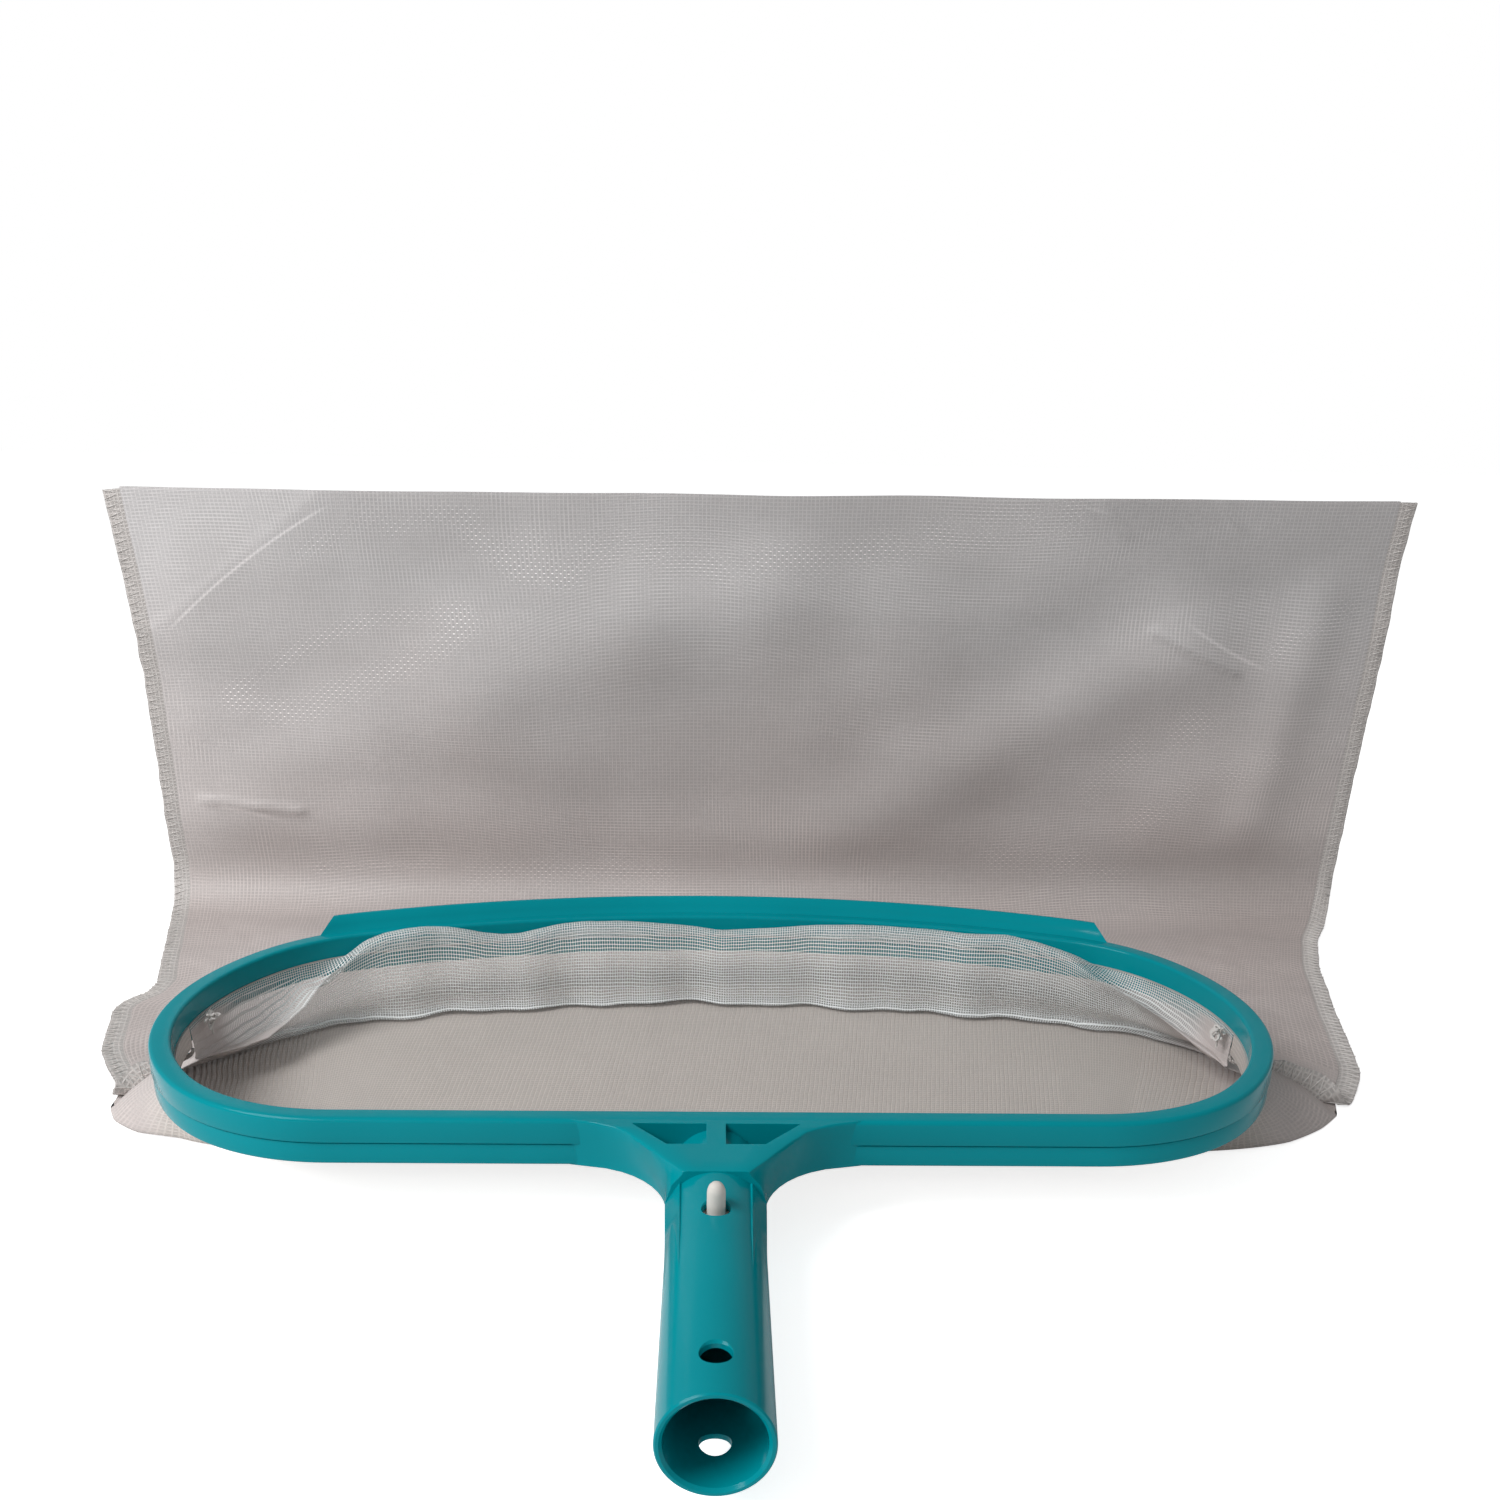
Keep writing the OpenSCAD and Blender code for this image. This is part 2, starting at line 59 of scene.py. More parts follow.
lens = bpy.data.cameras.new("camera")
lens.lens = 36.205
lens.sensor_width = 36
lens.sensor_fit = "HORIZONTAL"
lens.shift_y = 0.12597
lens.clip_start = 0.02
camera = bpy.data.objects.new("camera", lens)
right = look(cos(ROLL), sin(ROLL), 0)
upward = look(-sin(ROLL), cos(ROLL), 0)
back = -look(0, 0, 1)
camera.matrix_world = Matrix((
    (right.x, upward.x, back.x, EYE.x),
    (right.y, upward.y, back.y, EYE.y),
    (right.z, upward.z, back.z, EYE.z),
    (0, 0, 0, 1)))
bpy.context.scene.collection.objects.link(camera)
bpy.context.scene.camera = camera
bpy.context.scene.view_settings.view_transform = "Standard"


# ------------------------------------------------------------- materials
def new_material(name):
    material = bpy.data.materials.new(name)
    material.use_nodes = True
    return material, material.node_tree, material.node_tree.nodes["Principled BSDF"]


def feed(tree, node, inputs):
    """Gives a node's inputs their constants or the outputs of other nodes."""
    for key, value in inputs.items():
        if isinstance(value, bpy.types.NodeSocket):
            tree.links.new(value, node.inputs[key])
        else:
            node.inputs[key].default_value = value


def add(tree, kind, inputs=None, **settings):
    """A new node with its settings and its inputs."""
    node = tree.nodes.new(kind)
    for key, value in settings.items():
        setattr(node, key, value)
    feed(tree, node, inputs or {})
    return node


def math_node(tree, operation, *values):
    return add(tree, "ShaderNodeMath", dict(enumerate(values)), operation=operation).outputs[0]


def bounded(tree, value, low=0):
    """A value kept from low to 1."""
    return math_node(tree, "MINIMUM", math_node(tree, "MAXIMUM", value, low), 1)


def group(name, inputs, outputs):
    """A node group whose sockets are numbers, or a vector where an input has no default."""
    tree = bpy.data.node_groups.new(name, "ShaderNodeTree")
    for label, value in inputs.items():
        kind = "NodeSocketVector" if value is None else "NodeSocketFloat"
        socket = tree.interface.new_socket(label, in_out="INPUT", socket_type=kind)
        if value is not None:
            socket.default_value = value
    for label in outputs:
        tree.interface.new_socket(label, in_out="OUTPUT", socket_type="NodeSocketFloat")
    given = tree.nodes.new("NodeGroupInput").outputs
    return tree, given, tree.nodes.new("NodeGroupOutput"), partial(math_node, tree)


def swayed(tree, vector, scale, detail, reach):
    """The parts of a vector that noise moves by up to reach, and the noise itself."""
    wander = add(tree, "ShaderNodeTexNoise", {"Scale": scale, "Detail": detail, "Vector": vector})
    moved = add(tree, "ShaderNodeVectorMath", {0: wander.outputs["Color"], 1: reach, 2: vector},
                operation="MULTIPLY_ADD")
    parts = add(tree, "ShaderNodeSeparateXYZ", {0: moved.outputs[0]})
    return parts.outputs, wander.outputs["Fac"]


def weave_group():
    """Plain weave of single threads: a mask of the threads, their height, a tint that changes
    from thread to thread, the fine lines that two layers make together, and the crossings
    where a thread lies on top."""
    tree, given, result, calc = group(
        "mesh weave",
        {"Vector": None, "Pitch across": 0.0019, "Pitch along": 0.0017, "Thread": 0.36},
        ("Mask", "Height", "Tint", "Lines", "Crossings"))
    pitches = (given["Pitch across"], given["Pitch along"])
    place, _ = swayed(tree, given["Vector"], 90, 1, (0.0007, 0.0007, 0))
    run, number, round_ = [], [], []
    for axis, pitch in enumerate(pitches):
        steps = calc("DIVIDE", place[axis], pitch)
        run.append(steps)
        number.append(calc("FLOOR", steps))
        middle = calc("SUBTRACT", calc("FRACT", steps), 0.5)
        aside = calc("DIVIDE", calc("ABSOLUTE", middle), given["Thread"])
        aside = calc("MULTIPLY", aside, 2)
        square = calc("MULTIPLY", aside, aside)
        round_.append(calc("MAXIMUM", calc("SUBTRACT", 1, square), 0))
    heights = []
    for this, other, phase in ((0, 1, 0), (1, 0, pi)):
        turn = calc("MULTIPLY_ADD", number[this], pi, phase)
        wave = calc("COSINE", calc("MULTIPLY_ADD", run[other], pi, turn))
        heights.append(calc("MULTIPLY", round_[this], calc("MULTIPLY_ADD", wave, 0.16, 0.84)))
    height = calc("MAXIMUM", *heights)
    on_top = calc("POWER", calc("MAXIMUM", wave, 0), 4)
    which = add(tree, "ShaderNodeTexWhiteNoise", noise_dimensions="1D",
                inputs={"W": calc("MULTIPLY_ADD", number[0], 0.37, number[1])})
    # the lines run along one set of threads or the other, and sway slowly
    place, slow = swayed(tree, given["Vector"], 7, 0, (0.035, 0.05, 0))
    lines = []
    for axis, pitch in enumerate(pitches):
        turns = calc("DIVIDE", place[axis], pitch)
        half = calc("MULTIPLY_ADD", calc("COSINE", calc("MULTIPLY", turns, 2 * pi)), 0.5, 0.5)
        lines.append(calc("MULTIPLY", half, half))
    part = bounded(tree, calc("MULTIPLY_ADD", slow, 7, -3.3))
    along = calc("MULTIPLY", lines[1], calc("SUBTRACT", 1, part))
    feed(tree, result, {
        "Mask": calc("GREATER_THAN", height, 0.02),
        "Height": height,
        "Tint": which.outputs["Value"],
        "Lines": calc("MULTIPLY_ADD", lines[0], part, along),
        "Crossings": calc("MULTIPLY", on_top, round_[1])})
    return tree


def fold_group():
    """A thin line on the standing back of the bag, from a start at an angle, a little arched, as
    the mask of a painted highlight or shade along a crease.
    """
    tree, given, result, calc = group(
        "fold line", {"Start": None, "Angle": 0.0, "Length": 0.1, "Arch": 0.0, "Width": 0.001},
        ("Mask",))
    where = add(tree, "ShaderNodeTexCoord").outputs["Object"]
    away = add(tree, "ShaderNodeVectorMath", {0: where, 1: given["Start"]}, operation="SUBTRACT")
    turn = add(tree, "ShaderNodeVectorRotate", rotation_type="Y_AXIS",
               inputs={"Vector": away.outputs[0], "Angle": given["Angle"]})
    along, _, high = add(tree, "ShaderNodeSeparateXYZ", {0: turn.outputs[0]}).outputs
    left = calc("SUBTRACT", given["Length"], along)
    arch = calc("MULTIPLY", calc("MULTIPLY", along, left), given["Arch"])
    aside = calc("ABSOLUTE", calc("SUBTRACT", high, arch))
    near = calc("SUBTRACT", 1, calc("DIVIDE", aside, given["Width"]))
    mask = calc("MAXIMUM", near, 0)
    for end in (along, left):
        mask = calc("MULTIPLY", mask, bounded(tree, calc("DIVIDE", end, 0.012)))
    feed(tree, result, {"Mask": mask})
    return tree


def wear_group():
    """Fine unevenness of moulded or woven plastic: slow colour drift, small scuffs and grain."""
    tree, given, result, _ = group("moulded wear", {"Drift size": 14.0, "Scuff size": 260.0},
                                   ("Drift", "Scuff", "Grain"))
    where = add(tree, "ShaderNodeTexCoord").outputs["Object"]
    for label, size, detail, scale in (("Drift", given["Drift size"], 2, (1, 1, 1)),
                                       ("Scuff", given["Scuff size"], 4, (0.25, 1, 1)),
                                       ("Grain", 220, 2, (1, 1, 1))):
        place = add(tree, "ShaderNodeMapping", {"Scale": scale, "Vector": where})
        texture = add(tree, "ShaderNodeTexNoise", {
            "Detail": detail, "Scale": size, "Vector": place.outputs["Vector"]})
        feed(tree, result, {label: texture.outputs["Fac"]})
    return tree


WEAVE = weave_group()
WEAR = wear_group()
FOLD = fold_group()


def ramp(tree, value, *stops):
    """The colours between two stops, each a position and a colour."""
    node = add(tree, "ShaderNodeValToRGB", {"Fac": value})
    for element, (position, colour) in zip(node.color_ramp.elements, stops):
        element.position = position
        element.color = (*colour, 1)
    return node.outputs["Color"]


def plastic(name, dark, light, roughness):
    """Moulded plastic with a drift from dark to light and scuffs in its gloss."""
    material, tree, shader = new_material(name)
    wear = add(tree, "ShaderNodeGroup", node_tree=WEAR).outputs
    rough = add(tree, "ShaderNodeMapRange", {
        "Value": wear["Scuff"], "From Min": 0.3, "From Max": 0.75,
        "To Min": roughness - 0.03, "To Max": roughness + 0.06})
    bump = add(tree, "ShaderNodeBump", {
        "Strength": 0.06, "Distance": 0.00002, "Height": wear["Grain"]})
    feed(tree, shader, {
        "Base Color": ramp(tree, wear["Drift"], (0.35, dark), (0.65, light)),
        "Roughness": rough.outputs["Result"],
        "Normal": bump.outputs["Normal"],
        "IOR": 1.48,
        "Specular IOR Level": 0.11})
    return material


TEAL = plastic("teal plastic", (0.0, 0.240, 0.284), (0.0, 0.264, 0.311), 0.15)
WHITE = plastic("white plastic", (0.60, 0.57, 0.53), (0.68, 0.65, 0.61), 0.42)


# painted highlights along creases on the bag's back, and one painted shade line: start, angle in
# degrees, length, arch, width and strength
PAINTED_CREASE_LINES = [((-0.259, 0, 0.120), 35.5, 0.103, 1.28, 0.0010, 0.42),
           ((0.220, 0, 0.132), -27.5, 0.052, -2.5, 0.0014, 0.26),
           ((-0.256, 0, 0.034), -12.0, 0.043, 2.3, 0.0020, 0.20),
           ((0.230, 0, 0.182), -37.0, 0.015, 0.0, 0.0012, -0.20),
           ((0.162, 0, 0.185), -14.5, 0.020, 0.0, 0.0012, 0.20)]
# what a point of the net carries: how closed its gaps are, how bright its painted glints on the
# # crossings are, and how much painted light and shade and random tone make the cloth lighter or
# darker
MARKS = ("close", "glint", "painted_light_and_tone")
# the net's colour in the hoop, made paler by painted light on the raised fold, and on the rest of
# the bag at the ground and at the top
PAINTED_LIT_NET, LOW, HIGH = (0.81, 0.84, 0.835), (0.55, 0.487, 0.468), (0.565, 0.545, 0.545)


def mesh_cloth(name, fill, closed, pale, thread=0.36, pitch=(0.0019, 0.0017), lined=0.22,
               painted_lines=()):
    """Woven mesh. The mark close leads from the net in the hoop, which is pale with its gaps
    closed by fill, to the rest of the bag, where closed closes them and the colour goes from
    LOW to HIGH. Thread is a part of the pitch, and lined is the strength of the lines. Each
    crease is a highlight or shade painted along a fold line, and the other marks add painted
    glints, painted light and shade, and random tone."""
    material, tree, shader = new_material(name)
    calc = partial(math_node, tree)
    uv = add(tree, "ShaderNodeUVMap", uv_map="cloth").outputs["UV"]
    weave = add(tree, "ShaderNodeGroup", node_tree=WEAVE, inputs={
        "Vector": uv, "Pitch across": pitch[0], "Pitch along": pitch[1], "Thread": thread}).outputs
    wear = add(tree, "ShaderNodeGroup", node_tree=WEAR,
               inputs={"Drift size": 9, "Scuff size": 24}).outputs
    close, glint, painted_light_and_tone = [add(tree, "ShaderNodeAttribute", attribute_name=label).outputs["Fac"]
                           for label in MARKS]
    where = add(tree, "ShaderNodeTexCoord").outputs["Object"]
    level = add(tree, "ShaderNodeSeparateXYZ", {0: where}).outputs["Z"]
    height = calc("MULTIPLY_ADD", wear["Drift"], 0.5, calc("MULTIPLY_ADD", level, 4.2, -0.1))
    colour = add(tree, "ShaderNodeMix", data_type="RGBA", inputs={
        "Factor": close, "A": (*pale, 1), "B": ramp(tree, height, (0.0, LOW), (0.75, HIGH))})
    # single threads show in the hoop, lighter at their crowns as painted shading, and the lines of
    # two layers on the rest of the bag
    flat = calc("MULTIPLY_ADD", close, -0.17, 0.22)
    tone = calc("MULTIPLY_ADD", close, 0.10, 0.80)
    tone = calc("MULTIPLY_ADD", weave["Height"], flat, tone)
    tone = calc("MULTIPLY_ADD", weave["Tint"], 0.04, tone)
    patch = bounded(tree, calc("MULTIPLY_ADD", wear["Scuff"], 5, -1.9), 0.15)
    lines = calc("MULTIPLY", weave["Lines"], calc("MULTIPLY", patch, close))
    tone = calc("MULTIPLY_ADD", lines, lined, tone)
    # painted light and shade from the marks, with some random tone
    tone = calc("ADD", tone, painted_light_and_tone)
    # painted glints on the crossings, where the marks ask for them
    lit = calc("MULTIPLY", weave["Crossings"], glint)
    tone = calc("MULTIPLY_ADD", lit, 1.9, tone)
    # a painted highlight or shade line along each crease
    for start, angle, length, arch, width, strength in painted_lines:
        line = add(tree, "ShaderNodeGroup", node_tree=FOLD, inputs={
            "Start": start, "Angle": radians(angle), "Length": length, "Arch": arch,
            "Width": width})
        tone = calc("MULTIPLY_ADD", line.outputs["Mask"], strength, tone)
    grey = add(tree, "ShaderNodeCombineColor", dict.fromkeys(("Red", "Green", "Blue"), tone))
    toned = add(tree, "ShaderNodeMix", data_type="RGBA", blend_type="MULTIPLY", inputs={
        "Factor": 1, "A": colour.outputs["Result"], "B": grey.outputs["Color"]})
    gap = calc("MULTIPLY_ADD", close, closed - fill, fill)
    alpha = calc("MULTIPLY", weave["Mask"], calc("SUBTRACT", 1, gap))
    raised = calc("MULTIPLY", weave["Height"], calc("MULTIPLY_ADD", close, -0.7, 1))
    bump = add(tree, "ShaderNodeBump", {"Strength": 0.6, "Distance": 0.0003, "Height": raised})
    feed(tree, shader, {
        "Base Color": toned.outputs["Result"],
        "Alpha": calc("ADD", alpha, gap),
        "Roughness": 0.45,
        "Sheen Weight": 0.1,
        "Sheen Roughness": 0.4,
        "Normal": bump.outputs["Normal"]})
    return material


OPEN_NET = mesh_cloth("open net", 0.05, 0.97, PAINTED_LIT_NET, 0.31, (0.00125, 0.00125), 0.03)
BACK_NET = mesh_cloth("back net", 0.05, 0.85, PAINTED_LIT_NET, 0.31, painted_lines=PAINTED_CREASE_LINES)
CLOSE_NET = mesh_cloth("close net", 0.93, 0.93, (0.55, 0.50, 0.465))
BAND = mesh_cloth("seam band", 0.9, 0.9, (0.565, 0.53, 0.51), 0.5)
THREAD = plastic("seam thread", (0.60, 0.575, 0.555), (0.69, 0.665, 0.645), 0.5)


# --------------------------------------------------------------- helpers
def as_object(name, bm):
    """Ends a bmesh in millimetres as an object in metres."""
    bmesh.ops.scale(bm, vec=(0.001, 0.001, 0.001), verts=bm.verts)
    mesh = bpy.data.meshes.new(name)
    bm.to_mesh(mesh)
    bm.free()
    obj = bpy.data.objects.new(name, mesh)
    bpy.context.scene.collection.objects.link(obj)
    return obj


def piece(name, bm, material, body=BODY, replaces=(), smooth=32, more=()):
    """Ends a bmesh as a piece that rides on a body. Edges over smooth degrees stay sharp."""
    obj = as_object(name, bm)
    for m in (material, *more):
        obj.data.materials.append(m)
    obj.data.shade_smooth()
    if smooth < 180:
        obj.data.set_sharp_from_angle(angle=radians(smooth))
    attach(obj, body)
    if replaces:
        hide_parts(*replaces)
    return obj


def join(bm, extra, index=0):
    """Adds one bmesh to another, with its faces in the material slot of that number."""
    mesh = bpy.data.meshes.new("extra")
    for f in extra.faces:
        f.material_index = index
    extra.to_mesh(mesh)
    extra.free()
    bm.from_mesh(mesh)
    bpy.data.meshes.remove(mesh)


def faces_out(bm):
    """Joins the points that meet and turns all faces outwards."""
    bmesh.ops.remove_doubles(bm, verts=bm.verts[:], dist=1e-4)
    bmesh.ops.recalc_face_normals(bm, faces=bm.faces[:])


def mirrored(bm):
    """Adds the other half across x = 0."""
    bmesh.ops.mirror(bm, geom=bm.verts[:] + bm.edges[:] + bm.faces[:], axis="X", merge_dist=0.01)
    faces_out(bm)
    return bm


def turned(points, axis, y, steps, closed=False):
    """A profile turned once round an axis through (0, y, 0)."""
    bm = bmesh.new()
    ring = [bm.verts.new(p) for p in points]
    for pair in zip(ring, ring[1:] + (ring[:1] if closed else [])):
        bm.edges.new(pair)
    bmesh.ops.spin(bm, geom=bm.verts[:] + bm.edges[:], cent=(0, y, 0), axis=axis, dvec=(0, 0, 0),
                   angle=2 * pi, steps=steps, use_merge=True, use_duplicate=False)
    faces_out(bm)
    return bm


def loft(rows):
    """A skin through closed rows of points, with a face over both its ends."""
    bm = bmesh.new()
    loops = []
    for row in rows:
        ring = [bm.verts.new(p) for p in row]
        loops.append([bm.edges.new(pair) for pair in zip(ring, ring[1:] + ring[:1])])
    for a, b in zip(loops, loops[1:]):
        bmesh.ops.bridge_loops(bm, edges=a + b)
    for edges in (loops[0], loops[-1]):
        bmesh.ops.contextual_create(bm, geom=edges)
    faces_out(bm)
    return bm


def clamp(t, low=0.0, high=1.0):
    return max(low, min(high, t))


def ease(a, b, t):
    """0 before a, 1 after b, and a smooth step between them, in either direction."""
    t = clamp((t - a) / (b - a))
    return t * t * (3 - 2 * t)


def mix(a, b, t):
    return a + (b - a) * t


def table(rows, x):
    """A value read from rows of (x, value), along straight lines between them."""
    if x <= rows[0][0]:
        return rows[0][1]
    for (x0, y0), (x1, y1) in zip(rows, rows[1:]):
        if x <= x1:
            return mix(y0, y1, (x - x0) / (x1 - x0))
    return rows[-1][1]


def curve_through(points, stops):
    """Points on the smooth curve through a row of points, at the places in stops, which
    count the points from 0."""
    out = []
    last = len(points) - 1
    for s in stops:
        i = min(int(s), last - 1)
        t = s - i
        p1, p2 = points[i], points[i + 1]
        p0 = points[i - 1] if i > 0 else p1 * 2 - p2
        p3 = points[i + 2] if i + 2 <= last else p2 * 2 - p1
        # centripetal spacing keeps the curve from looping at close points
        d = [max((b - a).length, 1e-6) ** 0.5 for a, b in ((p0, p1), (p1, p2), (p2, p3))]
        m1 = (p1 - p0) / d[0] - (p2 - p0) / (d[0] + d[1]) + (p2 - p1) / d[1]
        m2 = (p2 - p1) / d[1] - (p3 - p1) / (d[1] + d[2]) + (p3 - p2) / d[2]
        m1, m2 = m1 * d[1], m2 * d[1]
        out.append((2 * p1 - 2 * p2 + m1 + m2) * t ** 3
                   + (-3 * p1 + 3 * p2 - 2 * m1 - m2) * t ** 2 + m1 * t + p1)
    return out


# ----------------------------------------------- the hoop's sizes, in mm
NEAR_Y = 135.5
HOOP_T, CLAMP_T, Z_BOT, Z_TOP, Z_JOINT = 7.6, 7.1, -0.5, 15.5, 6.7
NET_GAP = 0.4
# the hoop's outline on the right, as arcs: centre, outer radius, and angles from and to
ARCS = [((122.48, 208.5), 73.0, -90.0, -38.0), ((98.45, 227.28), 103.5, -38.0, 35.0),
        ((123.84, 245.06), 72.5, 35.0, 69.6)]
BOW_R = 72.5 + 123.84 / cos(radians(69.6))
BOW_Y = 245.06 - 123.84 * tan(radians(69.6))
ARCS.append(((0.0, BOW_Y), BOW_R, 69.6, 90.0))
GROUND = -21.9
STRIDE = 3.5  # about the length of one step round an arc


def sweep(bm, geom, arc):
    """Carries a section round one arc of the hoop, and gives its end back."""
    (cx, cy), r, a0, a1 = arc
    steps = max(2, round(r * radians(a1 - a0) / STRIDE))
    return bmesh.ops.spin(bm, geom=geom, cent=(cx, cy, 0), axis=(0, 0, 1), dvec=(0, 0, 0),
                          angle=radians(a1 - a0), steps=steps, use_duplicate=False)["geom_last"]


def section(points, roundings):
    """An open loop of edges in the plane x = 0 on the hoop's near side. The points are
    (distance outwards from the inner face, height), and corners are rounded by number."""
    bm = bmesh.new()
    verts = [bm.verts.new((0, NEAR_Y + HOOP_T - x, z)) for x, z in points]
    bm.faces.new(verts)
    for number, radius, steps in roundings:
        bmesh.ops.bevel(bm, geom=[verts[number]], offset=radius, segments=steps, profile=0.5,
                        affect="VERTICES", clamp_overlap=False, material=-1)
    bmesh.ops.delete(bm, geom=bm.faces[:], context="FACES_ONLY")
    return bm


def whole_ring(bm):
    """Takes a section from the near side's middle round to the far side's and mirrors it."""
    steps = 12
    geom = bmesh.ops.spin(bm, geom=bm.verts[:] + bm.edges[:], cent=(0, 0, 0), axis=(0, 0, 1),
                          dvec=(ARCS[0][0][0] / steps, 0, 0), angle=0, steps=steps,
                          use_duplicate=False)["geom_last"]
    for arc in ARCS:
        geom = sweep(bm, geom, arc)
    return mirrored(bm)


# ------------------------------------------------- moulded teal pieces
piece("hoop_moulding", whole_ring(section(
    [(0, Z_JOINT + NET_GAP), (HOOP_T, Z_JOINT + NET_GAP), (HOOP_T, Z_TOP), (0, Z_TOP)],
    [(1, 0.25, 2), (2, 1.5, 6), (3, 1.3, 5)])),
    TEAL, replaces=["hoop"])

piece("clamp_ring_moulding", whole_ring(section(
    [(0, Z_JOINT), (0, Z_BOT), (CLAMP_T, Z_BOT), (CLAMP_T, Z_JOINT)],
    [(1, 1.0, 4), (2, 1.0, 4), (3, 0.2, 2)])),
    TEAL, replaces=["clamp_ring"])


def lip():
    """The lip that scoops along the far side: its flare starts in the hoop's outer wall."""
    bm = bmesh.new()
    points = [(3.6, 14.6), (7.35, 12.2), (7.45, 13.0), (8.3, 15.2), (10.2, 18.6), (11.8, 20.9),
              (11.35, 21.3), (10.6, 21.25), (9.6, 20.9), (7.6, 18.0), (5.9, 15.7)]
    (cx, cy), r, a0, _ = ARCS[2]
    a0 = radians(a0)
    ring = []
    for x, z in points:
        out = r - HOOP_T + x
        ring.append(bm.verts.new((cx + out * cos(a0), cy + out * sin(a0), z)))
    face = bm.faces.new(ring)
    bmesh.ops.delete(bm, geom=[face], context="FACES_ONLY")
    geom = bm.verts[:] + bm.edges[:]
    for arc in ARCS[2:]:
        geom = sweep(bm, geom, arc)
    # cut ends lean in towards the top
    lean = Vector((5.8, 0, 4)).normalized()
    bmesh.ops.bisect_plane(bm, geom=bm.verts[:] + bm.edges[:] + bm.faces[:],
                           plane_co=(164, 0, Z_TOP), plane_no=lean, clear_outer=True)
    rim = [e for e in bm.edges if len(e.link_faces) == 1 and e.verts[0].co.x > 120]
    bmesh.ops.contextual_create(bm, geom=rim)
    mirrored(bm)
    cut = [e for e in bm.edges if len(e.link_faces) == 2 and e.calc_face_angle(0) > radians(50)]
    bmesh.ops.bevel(bm, geom=cut, offset=0.6, segments=3, profile=0.5, affect="EDGES",
                    clamp_overlap=True, material=-1)
    return bm


piece("scoop_lip_moulding", lip(), TEAL, replaces=["scoop_lip"], smooth=50)

# ------------------------------------------------------ socket and yoke
SOCKET_R, ROOT_R, BORE_R, SOCKET_L, BORE_L = 14.5, 14.9, 12.5, 135.5, 128.0
MOUNT_L = 79.5  # the straight length that goes into a pole
SPARE_Y, CLIP_Y = 16.4, 84.2
HIDDEN_R = 13.3  # inside the saddle, where only the pockets show the tube


def subtract(obj, cutter):
    """Cuts one piece out of another and throws the cutter away."""
    modifier = obj.modifiers.new("cut", "BOOLEAN")
    modifier.object = cutter
    modifier.operation = "DIFFERENCE"
    modifier.solver = "EXACT"
    dg = bpy.context.evaluated_depsgraph_get()
    mesh = bpy.data.meshes.new_from_object(obj.evaluated_get(dg))
    obj.modifiers.clear()
    old = obj.data
    obj.data = mesh
    bpy.data.meshes.remove(old)
    bpy.data.objects.remove(cutter)


def tube_r(y):
    """The tube's outer radius, which grows a little towards the saddle."""
    return mix(SOCKET_R, ROOT_R, clamp((y - MOUNT_L) / 24))


def socket():
    """The tube, turned round its axis from a section through its wall."""
    points = [(BORE_R + 0.8, 0.0), (SOCKET_R - 0.4, 0.0), (SOCKET_R, 0.5),
              *((tube_r(y), y) for y in range(4, 120, 4)),
              (ROOT_R, 117.5), (HIDDEN_R, 118.5), *((HIDDEN_R, y) for y in range(122, 135, 4)),
              (HIDDEN_R, SOCKET_L), (0, SOCKET_L), (0, BORE_L), (BORE_R - 1.2, BORE_L),
              (BORE_R, BORE_L - 1.2), *((BORE_R, y) for y in range(124, 2, -4)), (BORE_R, 0.9)]
    return turned([(r, y, 0) for r, y in points], (0, 1, 0), 0, 120, closed=True)


def hole_cutter(y):
    """A bore across the tube with a bevel at both its ends."""
    profile = [(0, -17), (7.1, -17), (4.1, -13.75), (4.1, 13.75), (7.1, 17), (0, 17)]
    return as_object("cutter", turned([(r, y, z) for r, z in profile], (0, 0, 1), y, 48))


tube = piece("pole_socket_tube", socket(), TEAL, replaces=["pole_socket"])
for y in (SPARE_Y, CLIP_Y):
    subtract(tube, hole_cutter(y))

# half the yoke's width at its top, by distance along the tube
TOP_HALF = [(103.7, 9.7), (106.8, 12.1), (111, 15.2), (116, 18.4), (122.5, 22.9), (129.1, 28.2),
            (131.7, 32.4), (134, 37.6), (135.3, 42.5), (136.6, 47)]


def bottom_half(y):
    """Half its width at the foot, where a round fillet leads out into the arm."""
    if y > 135.3:
        return 43.6 + (y - 135.3) * 2
    return 43.9 - sqrt(max(0, 29 ** 2 - max(0, y - 106.5) ** 2))


def yoke():
    """The arms and the saddle over the tube, lofted through sections along the tube."""
    rows = []
    for y in (103.7, 104.6, 106.8, 109, 111, 113.5, 116, 119, 122.5, 126, 129.1, 131.7, 134,
              135.3, 136.6):
        top, low = table(TOP_HALF, y), bottom_half(y)
        side = clamp(low + 2, low, top)
        crown = Z_TOP + 0.01 - 0.35 * ease(105.5, 103.7, y)
        outline = [(low, Z_BOT), (low, 2.0), (mix(low, side, 0.5), 5.0),
                   (mix(low, top, 0.75 if top > low else 0.35), 10.5),
                   (top + 0.35, crown - 1.2), (top, crown - 0.35), (top - 0.9, crown),
                   (top * 0.5, crown)]
        outline += [(-x, z) for x, z in reversed(outline)]
        inside = 13.7 if y < 118 else HIDDEN_R - 0.4
        for k in range(19):
            a = pi - pi * k / 18
            outline.append((inside * cos(a), max(inside * sin(a), Z_BOT)))
        rows.append([(x, y, z) for x, z in outline])
    return loft(rows)


